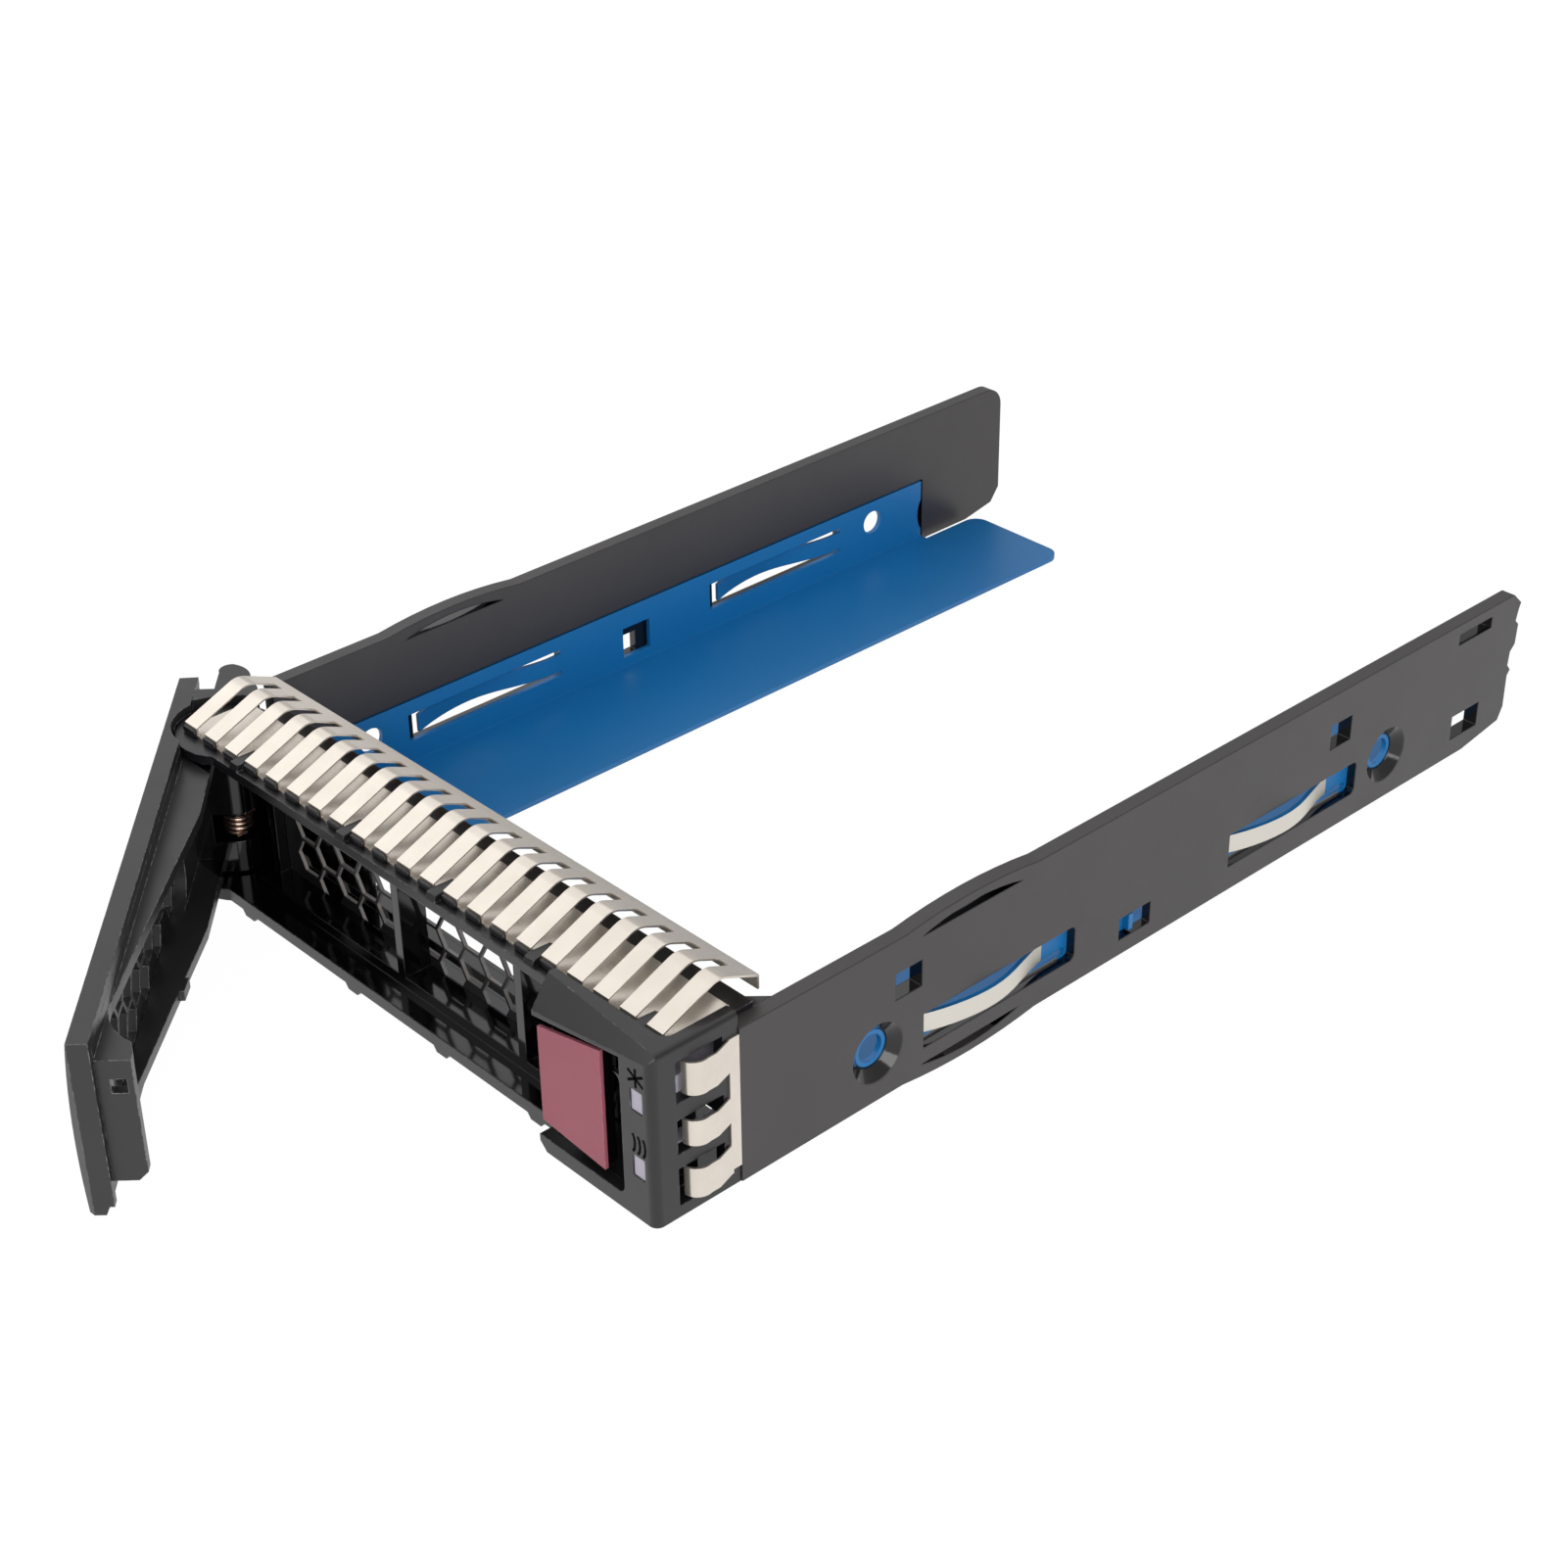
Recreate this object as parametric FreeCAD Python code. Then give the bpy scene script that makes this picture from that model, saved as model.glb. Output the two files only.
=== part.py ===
"""Hot swap caddy for a 3.5 inch server drive, as an assembly of its real pieces.

Millimetres, +Z up, +Y along the rails from the bezel to the connector end, +X to the button side.
Everything is drawn with y = 0 on the front face of the button housing and z = 0 under the rails.
Each piece is then moved forwards, so that the origin lies mid-width under the bezel's floor,
level with the lever's hinge. The lever is drawn closed, then turned open about its pin.
"""
import FreeCAD, Part
import math
import os

V = FreeCAD.Vector
UP = V(0, 0, 1)
ALONG = V(0, 1, 0)
ACROSS = V(1, 0, 0)

# The drive that the caddy carries: its width, its side screw holes and where they lie.
DRIVE_WIDTH = 101.6
DRIVE_GAP = 0.1                 # play on each side of the drive
HOLE_PITCH = 101.6
HOLE_ABOVE_SEAT = 6.35
HOLE_FRONT_Y = 35.8
SCREW_HOLE_R = 1.95

# Sheet steel tray brackets.
SHEET = 0.8
FLANGE_REACH = 21.0
UPRIGHT_HEIGHT = 10.8
BRACKET_FRONT_Y = 24.0
UPRIGHT_REAR_Y = 148.8
FLANGE_REAR_Y = 160.8
FLANGE_CORNER_R = 2.5
LEAF_HEIGHT = 2.8
LEAF_BULGE = 2.5
LEAF_SHEET = 0.6
LEAF_LENGTH = 27.0
LEAF_SLOT_HEIGHT = 4.4
LEAF_FRONT_YS = (42.5, 101.4)   # front ends of the two leaf slots
LEAF_Z = 4.2
TAB_Y = 83.4
TAB_LENGTH = 5.4
TAB_Z = 2.4

# Plastic rails.
RAIL_THICKNESS = 2.2
RAIL_DROP = 2.3                 # the rails' tops lie this far below the bezel's
RAIL_REAR_Y = 167.8
RAIL_SLOT_MARGIN = 0.4
BUMP_FRONT_Y = 40.2
BUMP_LENGTH = 24.0
BUMP_RISE = 0.9
BUMP_WEB = 1.5
BUMP_SLIT_INSET = 3.0
CONE_R = 4.3
CONE_FLOOR_R = 2.5
BRACKET_RECESS_PLAY = 0.05
BRACKET_RECESS_MARGIN = 0.3
CLAW_STEP_Z = 11.2              # the lever side's rail is cut back above this for the claw
CLAW_STEP_Y = 20.4
FOOT_REAR_Y = 18.2              # the rail feet stop in front of the drive
FOOT_THICKNESS = 2.4
FOOT_GAP = 1.0                  # between the button side's foot and the light pipes
TAB_WINDOW_REACH = 3.1          # the rail's window reaches this far either side of the tab's end
TAB_WINDOW_HEIGHT = 3.4
# The button side's other windows: front end, length, foot below the rail's top, height.
RAIL_WINDOWS = ((38.7, 4.6, 8.8, 3.9), (123.6, 4.6, 8.8, 3.9), (153.4, 6.5, 19.4, 3.9), (152.7, 7.9, 3.4, 1.8))

# Bezel moulding.
BEZEL_HEIGHT = 24.6
BEZEL_REAR_Y = 13.3
BEZEL_SIDE_STEP = 0.2           # the bezel side sits this far inside the rail
FRAME_FRONT_Y = 3.2
TOP_WALL_DROP = 3.0             # the frame's top wall starts this far below the housing's top
TOP_WALL = 1.4
TOP_REAR_Y = 17.5               # the top wall runs back under the finger strip
GUSSET = (2.7, 2.9)             # and is braced against the button side's rail
BOTTOM_WALL = 1.8
FLOOR_REAR_Y = 18.3
FLOOR_CORNER = 3.0
FLOOR_STEP_Y = 6.8              # behind this the floor is raised, as far as the screen, and the bars stand
FLOOR_STEP_RISE = 1.6
EAR_R = 6.9
WALL = 1.5
GRILLE_INSET = 8.0              # from the hinge axis to the vent's left end
BAR_WIDTH = 1.5
BAR_SHARES = (0.4475, 0.8175)   # where the bars stand along the vent's width
SCREEN_SHEET = 0.5
SCREEN_Y = 10.9
HEX_PITCH = 5.15
HEX_WEB = 0.45
HEX_MARGIN = (5.38, 3.05)       # to the first hole's centre, from the screen's left and foot
MID_RAIL_Z = (5.6, 7.0)         # a rail behind the screen
HOOK_WIDTH = 1.7
HOOK_REACH = 4.3
FOOT_HEIGHT = 0.8               # the small feet under the bezel

# Button housing.
HOUSING_WIDTH = 21.3
HOUSING_WALL = 1.6
HOUSING_CORNER_R = 1.2
HOUSING_EDGE_R = 0.7
HOUSING_SLOPE = ((4.4, 3.0), (1.0, 1.0))    # drop and depth of the front's slope, at its left and right
RECESS_FLOOR_Z = 2.2
RECESS_DROP = 5.0               # the button's recess ends this far below the housing's top
RECESS_RISE = 2.6               # its roof rises this much to the right
RECESS_DEPTH = 8.5
RECESS_RIGHT = 5.5              # from the recess's right wall to the housing's side
RECESS_CORNER_R = 1.2
RECESS_BACK_LEFT = 9.0          # the recess's back wall starts this far in, past the button's arm
POCKET_FRONT_Y = 3.9            # the last finger of the top strip lies in a pocket
POCKET_WALL = 1.9
POCKET_CORNER_R = 1.5

# Lever, its hinge and its opening angle.
HINGE_Y = 8.5
LEVER_OPEN_DEG = 41.6
PIN_R = 1.25
PIN_PLAY = 0.08
COVER_LOW_EDGE = 8.7            # from the hinge axis out to the cover's foot, crest and top edge
COVER_CREST = 9.15
COVER_TOP_EDGE = 8.1
COVER_CREST_Z = 8.0
COVER_SEAT = 7.3                # from the hinge axis out to the face that lies on the arm
COVER_RIM = 1.2
COVER_TIP_BEVEL = 1.1
COVER_PLAY = 0.05
COVER_HEX_PITCH = 5.4
COVER_HEX_WEB = 0.6
LEVER_BAND_BACK = 5.5           # from the hinge axis out to the back of the lever's band
LEVER_FLARE = (0.6, 2.0)        # its back edge slopes in below: how far, and up to what height
LEVER_SHORT = 3.6               # between the closed lever's tip and the housing
LEVER_TAIL = 12.2
TAIL_SLANT = 0.6
LEVER_PLAY = 0.4
LEVER_TOP_GAP = 0.3             # the lever stops this far below the bezel's top
LEVER_FLOOR = -0.6
ARM_FOOT = 1.0                  # the arm's lower wall starts this far above the bezel's floor
ARM_TOP_EDGE = ((2.0, -1.5), (18.0, -1.1), (43.0, -3.8))    # the walls' free edges, from the hinge
ARM_LOW_EDGE = ((2.0, -1.9), (20.0, -1.9), (31.0, -3.1), (31.0, -2.6), (34.0, -2.8), (34.0, -3.4))
ARM_SWEEP_START = 12.0          # the upper wall sweeps up to the flange from here to here
ARM_SWEEP_END = 3.5
ARM_SLIM = 5.3                  # where it is slimmest, from the hinge axis
ARM_LOW_END = 17.0
FLANGE_SET_BACK = 1.0           # the flange stands this far in from the tip
FLANGE_EDGE = -1.2
FLANGE_WALL = 1.4
FLANGE_FOOT_Z = 3.7
FLANGE_BEVEL = 1.2
KNUCKLE_R = 2.9
SPRING_GAP = (7.0, 11.4)        # the hinge spring's room between the knuckles
SPRING_R = 1.75
SPRING_WIRE_R = 0.32
SPRING_TURNS = 4
COIL_STEPS = 16                 # straight lengths in one turn of a spring
CLAW_FLOOR_Z = 12.0
CLAW_TIP = 16.0
CLAW_SWEEP_R = 17.0
GRILLE_START = 16.0
GRILLE_COLUMNS = 9
VENT_CORNER_R = 4.0

# Release button, turning on a pin at the back of the housing.
BUTTON_PIN_INSET = 4.0
BUTTON_PIN_Y = 10.4
BUTTON_PIN_R = 0.8
BUTTON_FRONT_Y = 0.2
BUTTON_FACE_SHEET = 0.5
BUTTON_LEFT_INSET = 0.6
BUTTON_RIGHT_INSET = 9.2
BUTTON_FOOT_ZS = (4.6, 3.6)     # the face's foot at its left and right
BUTTON_DROPS = (6.2, 3.7)       # its top below the housing's, at its left and right
BUTTON_BODY = 1.6
BUTTON_ARM = 1.6
BUTTON_ARM_Z = 5.5
BARREL_R = 1.8
LATCH_DROP = 7.7                # the nose's underside, below the housing's top
LATCH_HEIGHT = 1.2
LATCH_Y = 6.1
LATCH_DEPTH = 1.5
LATCH_BITE = 0.5
LATCH_PLAY = 0.4
BUTTON_SPRING_GAP = (8.0, 12.0)
BUTTON_SPRING_R = 1.15
BUTTON_WIRE_R = 0.2
BUTTON_TURNS = 5

# Top earthing strip.
FINGER_COUNT = 21
STRIP_LEFT_INSET = 2.0
STRIP_SHEET = 0.25
STRIP_TIP_Y = 4.6
STRIP_LEAF = 10.1
STRIP_HEM = 1.3
STRIP_CREST_Y = 13.3
STRIP_CREST_RISE = 4.95         # where the slopes meet, and the rear edge, above the bezel's skin
STRIP_REAR_RISE = 2.35
STRIP_BEND = 1.2                # the crest is rounded this far either side
STRIP_REAR_Y = 19.4
STRIP_LIP = 2.0
FINGER_SLOT = 1.95
SLOT_END_Y = 17.3
HOOK_SLOTS = (3, 8, 12, 16, 20)

# Side earthing strip.
SIDE_SHEET = 0.25
SIDE_SHARES = ((0.065, 0.289), (0.374, 0.573), (0.671, 0.911))     # its windows along the bezel's height
SIDE_WINDOW_FRONT_Y = 3.7
SIDE_BAND = 1.6
SIDE_BULGE = 0.8
SIDE_CURL = 2.6
SIDE_TIP = 0.9

# Light pipes.
PIPE_WIDTH = 2.1
PIPE_HEIGHT = 3.1
PIPE_PLAY = 0.05
PIPE_INSET = 2.65
PIPE_SHARES = (0.317, 0.707)

INNER_X = DRIVE_WIDTH / 2 + DRIVE_GAP
OUTER_X = INNER_X + RAIL_THICKNESS
BEZEL_X = OUTER_X - BEZEL_SIDE_STEP
RAIL_HEIGHT = BEZEL_HEIGHT - RAIL_DROP
HOLE_Z = SHEET + HOLE_ABOVE_SEAT
HOLE_YS = (HOLE_FRONT_Y, HOLE_FRONT_Y + HOLE_PITCH)
TOP_WALL_Z = BEZEL_HEIGHT - TOP_WALL_DROP
TOP_SKIN_Z = TOP_WALL_Z + TOP_WALL
FLOOR_STEP_Z = BOTTOM_WALL + FLOOR_STEP_RISE
HOUSING_LEFT_X = BEZEL_X - HOUSING_WIDTH
RECESS_RIGHT_X = BEZEL_X - RECESS_RIGHT
HINGE_X = EAR_R - INNER_X
GRILLE_LEFT_X = HINGE_X + GRILLE_INSET
BAR_XS = [GRILLE_LEFT_X + (HOUSING_LEFT_X - GRILLE_LEFT_X) * share for share in BAR_SHARES]
ARM_LOW_Z = BOTTOM_WALL + ARM_FOOT
ARM_HIGH_Z = TOP_WALL_Z - LEVER_PLAY
ARM_FRONT = COVER_PLAY - COVER_SEAT
LEVER_BACK = -LEVER_BAND_BACK
LEVER_TOP = BEZEL_HEIGHT - LEVER_TOP_GAP
LEVER_TIP = HOUSING_LEFT_X - HINGE_X - LEVER_SHORT
FLANGE_END = LEVER_TIP - FLANGE_SET_BACK
BUTTON_PIN_X = HOUSING_LEFT_X + BUTTON_PIN_INSET
LATCH_Z = BEZEL_HEIGHT - LATCH_DROP
STRIP_LEFT_X = STRIP_LEFT_INSET - INNER_X
FINGER_PITCH = (INNER_X - STRIP_LEFT_X) / FINGER_COUNT
PIPE_X = BEZEL_X - PIPE_INSET
PIPE_ZS = [BEZEL_HEIGHT * share for share in PIPE_SHARES]
SIDE_WINDOW_ZS = [(BEZEL_HEIGHT * low, BEZEL_HEIGHT * high) for low, high in SIDE_SHARES]


def box(x0, x1, y0, y1, z0, z1):
    """A block between two corners."""
    return Part.makeBox(x1 - x0, y1 - y0, z1 - z0, V(x0, y0, z0))


def prism(points, direction):
    """A polygon through 3-D points, pushed along a vector."""
    wire = Part.makePolygon(points + [points[0]])
    return Part.Face(wire).extrude(direction)


def plan(points, z0, z1):
    """A polygon in plan, between two heights."""
    return prism([V(x, y, z0) for x, y in points], UP * (z1 - z0))


def profile(points, x0, x1):
    """A polygon in the side view (y, z), between two widths."""
    return prism([V(x0, y, z) for y, z in points], ACROSS * (x1 - x0))


def post(x, y, r, z0, z1):
    """An upright cylinder."""
    return Part.makeCylinder(r, z1 - z0, V(x, y, z0), UP)


def mirrored(shape):
    """The same piece for the other side of the caddy."""
    return shape.mirror(V(0, 0, 0), ACROSS)


def fuse(shapes):
    """One clean solid from touching shapes."""
    first, rest = shapes[0], shapes[1:]
    return first.fuse(rest).removeSplitter() if rest else first


def cut(shape, tools):
    """The shape less every tool."""
    return shape.cut(tools).removeSplitter() if tools else shape


def edges_at(shape, test):
    """The edges whose two ends both pass the test."""
    return [e for e in shape.Edges if len(e.Vertexes) == 2 and all(test(v.Point) for v in e.Vertexes)]


def edges_along(shape, direction, test):
    """The edges that run along a direction and whose two ends both pass the test."""
    return [e for e in edges_at(shape, test)
            if e.Vertexes[0].Point.sub(e.Vertexes[1].Point).cross(direction).Length < 0.01]


def save(shape, name):
    """Write one piece as a STEP file of its own, with the origin level with the hinge."""
    placed = shape.copy()
    placed.translate(ALONG * -HINGE_Y)
    placed.exportStep(f"parts/{name}.step")
    print(f"{name:24s} solids {len(placed.Solids)} volume {placed.Volume:9.1f} valid {placed.isValid()}")


def side_view(y, z):
    """A point of a side view."""
    return V(0, y, z)


def plan_view(x, y):
    """A point of a plan."""
    return V(x, y, 0)


def chain(points, at):
    """A closed face from pairs of numbers; a second pair beside them makes an arc's middle."""
    edges = []
    for here, there in zip(points, points[1:] + points[:1]):
        a = at(*here[:2])
        b = at(*there[:2])
        if len(here) == 4:
            edges.append(Part.Arc(a, at(*here[2:]), b).toShape())
        else:
            edges.append(Part.makeLine(a, b))
    return Part.Face(Part.Wire(edges))


def slab(points, z0, z1):
    """A plan with arcs, between two heights."""
    face = chain(points, plan_view)
    face.translate(UP * z0)
    return face.extrude(UP * (z1 - z0))


# ---------------------------------------------------------------- rails

def rail_outline(front, rear):
    """The rail's side view: two sprung bumps near the front, with the given front and rear ends."""
    mid = BUMP_FRONT_Y + BUMP_LENGTH / 2
    end = BUMP_FRONT_Y + BUMP_LENGTH
    low = [(BUMP_FRONT_Y, 0, mid, -BUMP_RISE), (end, 0)]
    high = [(end, RAIL_HEIGHT, mid, RAIL_HEIGHT + BUMP_RISE), (BUMP_FRONT_Y, RAIL_HEIGHT)]
    return chain(low + rear + high + front, side_view)


def plain_front():
    """The button side's front end, square against the bezel."""
    return [(BEZEL_REAR_Y, RAIL_HEIGHT), (BEZEL_REAR_Y, 0)]


def stepped_front():
    """The lever side's front end, cut back over its upper half where the claw swings."""
    return [(CLAW_STEP_Y, RAIL_HEIGHT), (CLAW_STEP_Y, CLAW_STEP_Z), (BEZEL_REAR_Y, CLAW_STEP_Z), (BEZEL_REAR_Y, 0)]


def notched_rear():
    """The button side's rear end: a chamfered foot and two small latch notches."""
    y = RAIL_REAR_Y
    h = RAIL_HEIGHT
    foot = [(y - 11, 0), (y - 2.2, 1.4), (y - 1.2, 3.4)]
    low_notch = [(y - 1.2, h - 13.7), (y - 0.6, h - 12.9), (y - 1.4, h - 11.9), (y - 1.2, h - 9.7)]
    high_notch = [(y - 0.2, h - 8.7), (y, h - 5.5), (y - 0.8, h - 4.7), (y - 0.4, h - 2.9), (y, h - 1.9)]
    return foot + low_notch + high_notch + [(y - 2, h)]


def plain_rear():
    """The lever side's rear end: a long sloped foot and a rounded top."""
    y = RAIL_REAR_Y
    r = 3.4
    k = r * (1 - math.sqrt(0.5))
    return [(y - 8, 0), (y - 1.8, 1.2), (y, 3.6), (y, RAIL_HEIGHT - r, y - k, RAIL_HEIGHT - k),
            (y - r, RAIL_HEIGHT)]


def lens(low_z, high_z):
    """The slit that frees a bump: flat on the rail's side, arched under the bump."""
    a = BUMP_FRONT_Y + BUMP_SLIT_INSET
    b = BUMP_FRONT_Y + BUMP_LENGTH - BUMP_SLIT_INSET
    mid = (a + b) / 2
    if high_z > low_z:
        return chain([(a, low_z), (b, low_z, mid, high_z)], side_view)
    return chain([(a, low_z, mid, high_z), (b, low_z)], side_view)


def screw_recess(y, x_out):
    """A cone for the screw's head, through the rail, open outwards."""
    depth = RAIL_THICKNESS - SHEET
    cone = Part.makeCone(CONE_R, CONE_FLOOR_R, depth, V(x_out, y, HOLE_Z), -ACROSS)
    hole = Part.makeCylinder(CONE_FLOOR_R, RAIL_THICKNESS, V(x_out, y, HOLE_Z), -ACROSS)
    return cone.fuse(hole)


def rail_windows():
    """The button side's windows, as corners in the side view."""
    windows = [tab_window()]
    for y, length, drop, height in RAIL_WINDOWS:
        z = RAIL_HEIGHT - drop
        windows.append((y, y + length, z, z + height))
    return windows


def tab_window():
    """The window that the bracket's tab holds, as corners in the side view."""
    return TAB_Y - TAB_WINDOW_REACH, TAB_Y + TAB_WINDOW_REACH, TAB_Z, TAB_Z + TAB_WINDOW_HEIGHT


def rail(front, rear, windows):
    """One rail on the +X side."""
    body = rail_outline(front, rear).extrude(ACROSS * RAIL_THICKNESS)
    body.translate(ACROSS * INNER_X)
    through = ACROSS * (RAIL_THICKNESS + 2)
    tools = []
    for face in (lens(RAIL_HEIGHT - BUMP_WEB, RAIL_HEIGHT - BUMP_WEB + BUMP_RISE + 0.3),
                 lens(BUMP_WEB, BUMP_WEB - BUMP_RISE - 0.3)):
        slit = face.extrude(through)
        slit.translate(ACROSS * (INNER_X - 1))
        tools.append(slit)
    for y0, y1, z0, z1 in windows:
        tools.append(box(INNER_X - 1, OUTER_X + 1, y0, y1, z0, z1))
    for y0 in LEAF_FRONT_YS:
        tools.append(leaf_window(y0, OUTER_X + 1, RAIL_SLOT_MARGIN))
    for y in HOLE_YS:
        tools.append(screw_recess(y, OUTER_X))
    recess = SHEET + BRACKET_RECESS_PLAY
    margin = BRACKET_RECESS_MARGIN
    tools.append(box(INNER_X - 1, INNER_X + recess, BRACKET_FRONT_Y - margin, UPRIGHT_REAR_Y + margin,
                     -BUMP_RISE - 1, UPRIGHT_HEIGHT + margin))
    return cut(body, tools)


def leaf_window(y0, x1, margin):
    """The opening that a leaf bows out through, with rounded rear corners."""
    opening = box(INNER_X - 1, x1, y0 - margin + 1.6, y0 + LEAF_LENGTH + 1.6 + margin,
                  LEAF_Z - margin, LEAF_Z + LEAF_SLOT_HEIGHT + margin)
    corners = edges_at(opening, lambda p: p.y > y0 + LEAF_LENGTH)
    return opening.makeFillet(0.8, [e for e in corners if abs(e.Vertexes[0].X - e.Vertexes[1].X) > 1])


# ---------------------------------------------------------------- brackets

def leaf(y0):
    """A sprung leaf lanced from the upright: it bows out through the rail and curls in at its free end."""
    root_y = y0 + LEAF_LENGTH + 1.6
    x_in = INNER_X
    x_out = INNER_X + LEAF_BULGE
    inner = [V(x_in, root_y, 0), V(x_in + 0.2, root_y - 5, 0), V(x_out - 0.2, y0 + 15, 0),
             V(x_out - 0.7, y0 + 7, 0), V(x_in + 0.2, y0 + 1.9, 0)]
    curve = Part.BSplineCurve()
    curve.interpolate(inner)
    offset = [V(p.x + LEAF_SHEET, p.y, 0) for p in inner]
    outer = Part.BSplineCurve()
    outer.interpolate(offset)
    ring = Part.Wire([curve.toShape(), Part.makeLine(inner[-1], offset[-1]), outer.toShape(),
                      Part.makeLine(offset[0], inner[0])])
    strip = Part.Face(ring).extrude(UP * LEAF_HEIGHT)
    strip.translate(UP * (LEAF_Z + (LEAF_SLOT_HEIGHT - LEAF_HEIGHT) / 2))
    return strip


def bracket():
    """One folded L bracket on the +X side: upright, seat flange, two leaves and a lanced tab."""
    x_fold = INNER_X + SHEET
    section = Part.Wire(Part.makePolygon([
        V(x_fold, 0, 0), V(x_fold, 0, UPRIGHT_HEIGHT), V(INNER_X, 0, UPRIGHT_HEIGHT), V(INNER_X, 0, SHEET),
        V(INNER_X - FLANGE_REACH, 0, SHEET), V(INNER_X - FLANGE_REACH, 0, 0), V(x_fold, 0, 0)]).Edges)
    body = Part.Face(section).extrude(ALONG * (FLANGE_REAR_Y - BRACKET_FRONT_Y))
    body.translate(ALONG * BRACKET_FRONT_Y)
    fold = edges_at(body, lambda p: abs(p.x - x_fold) < 0.01 and abs(p.z) < 0.01)
    body = body.makeFillet(SHEET * 0.9, fold)
    rear = plan_relief()
    holes = [Part.makeCylinder(SCREW_HOLE_R, 4, V(INNER_X - 2, y, HOLE_Z), ACROSS) for y in HOLE_YS]
    slots = [leaf_slot(y0) for y0 in LEAF_FRONT_YS]
    tab_window = box(INNER_X - 1, x_fold + 1, TAB_Y, TAB_Y + TAB_LENGTH, TAB_Z, TAB_Z + 5)
    body = cut(body, rear + holes + slots + [tab_window])
    flange_corners = edges_at(body, lambda p: p.y > FLANGE_REAR_Y - 0.01)
    body = body.makeFillet(FLANGE_CORNER_R, [e for e in flange_corners if abs(e.Length - SHEET) < 0.01])
    return fuse([body, tab()] + [leaf(y0) for y0 in LEAF_FRONT_YS])


def plan_relief():
    """What is cut away behind the upright: its swept rear edge and the strip beside the flange's tail."""
    x0 = INNER_X - 0.001
    x1 = INNER_X + SHEET + 1
    tall = box(x0, x1, UPRIGHT_REAR_Y, FLANGE_REAR_Y + 1, SHEET + 0.2, UPRIGHT_HEIGHT + 1)
    sweep = Part.makeCylinder(5.0, SHEET + 2, V(INNER_X - 1, UPRIGHT_REAR_Y + 4.2, SHEET + 4.0), ACROSS)
    side = box(INNER_X - 1.5, x1, UPRIGHT_REAR_Y, FLANGE_REAR_Y + 1, -1, SHEET + 1)
    return [tall, sweep, side]


def leaf_slot(y0):
    """The window round a leaf, with the leaf's root left solid at the rear."""
    return box(INNER_X - 1, INNER_X + SHEET + 1, y0, y0 + LEAF_LENGTH + 1.6,
               LEAF_Z, LEAF_Z + LEAF_SLOT_HEIGHT)


def tab():
    """The tab at the front of the small window, bent out into the rail's window to hold it."""
    return box(INNER_X, OUTER_X - 0.3, TAB_Y - SHEET, TAB_Y, TAB_Z + 0.4, TAB_Z + 2.9)


# ---------------------------------------------------------------- bezel

def housing():
    """The button housing at the right: a slope-topped shell, open behind, round the button's recess."""
    x0, x1 = HOUSING_LEFT_X, BEZEL_X
    shell = box(x0, x1, 0, BEZEL_REAR_Y, 0, BEZEL_HEIGHT)
    edges = edges_at(shell, lambda p: p.x > x1 - 0.01 and p.y < 0.01)
    shell = shell.makeFillet(HOUSING_CORNER_R, edges)
    shell = shell.makeFillet(HOUSING_EDGE_R, edges_at(shell, lambda p: p.x > x1 - 0.01 and p.z > BEZEL_HEIGHT - 0.01))
    recess_top = BEZEL_HEIGHT - RECESS_DROP
    recess = box(x0 - 1, RECESS_RIGHT_X, -1, RECESS_DEPTH, RECESS_FLOOR_Z, recess_top)
    recess = recess.makeFillet(RECESS_CORNER_R, edges_along(recess, ALONG, lambda p: p.x > x0))
    roof = prism([V(x0 - 1, -1, recess_top), V(RECESS_RIGHT_X, -1, recess_top),
                  V(RECESS_RIGHT_X, -1, recess_top + RECESS_RISE)], ALONG * (HOUSING_WALL + 1))
    pocket = box(x0 - 1, BEZEL_X - POCKET_WALL, POCKET_FRONT_Y, BEZEL_REAR_Y + 1, TOP_SKIN_Z, BEZEL_HEIGHT + 1)
    front_corner = edges_along(pocket, UP, lambda p: p.x > x0 and p.y < BEZEL_REAR_Y)
    pocket = pocket.makeFillet(POCKET_CORNER_R, front_corner)
    chamfer = prism([V(x0 - 1, -1, -1), V(x0 + 2.2, -1, -1), V(x0 - 1, -1, 2.2)], ALONG * (FRAME_FRONT_Y + 1))
    tools = [front_slope(), housing_hollow(), recess, roof, pocket, chamfer] + side_windows() + pipe_windows()
    return cut(shell, tools)


def front_slope():
    """What the slope takes off the housing's upper front edge, most at the left."""
    sections = []
    for x, (drop, depth) in zip((HOUSING_LEFT_X - 1, BEZEL_X + 1), HOUSING_SLOPE):
        top = BEZEL_HEIGHT + 0.1
        low = V(x, -0.1, BEZEL_HEIGHT - drop)
        sections.append(Part.makePolygon([low, V(x, depth, top), V(x, -0.1, top), low]))
    return Part.makeLoft(sections, True)


def housing_hollow():
    """The housing's inside, less the walls at the right and back of the button's recess."""
    inside = box(HOUSING_LEFT_X + HOUSING_WALL, BEZEL_X - HOUSING_WALL, HOUSING_WALL, BEZEL_REAR_Y + 1,
                 BOTTOM_WALL, TOP_WALL_Z)
    right = RECESS_RIGHT_X + WALL
    side_wall = box(RECESS_RIGHT_X, right, 0, RECESS_DEPTH + WALL, 0, BEZEL_HEIGHT)
    back_wall = box(HOUSING_LEFT_X + RECESS_BACK_LEFT, right, RECESS_DEPTH, RECESS_DEPTH + WALL, 0, BEZEL_HEIGHT)
    return inside.cut([side_wall, back_wall])


def side_windows():
    """Three windows in the housing's side for the side strip's fingers, open to the rear seam."""
    depth = HOUSING_WALL + 1
    return [box(BEZEL_X - depth, BEZEL_X + 1, SIDE_WINDOW_FRONT_Y, BEZEL_REAR_Y - 2.4, z0, z1)
            for z0, z1 in SIDE_WINDOW_ZS]


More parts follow.
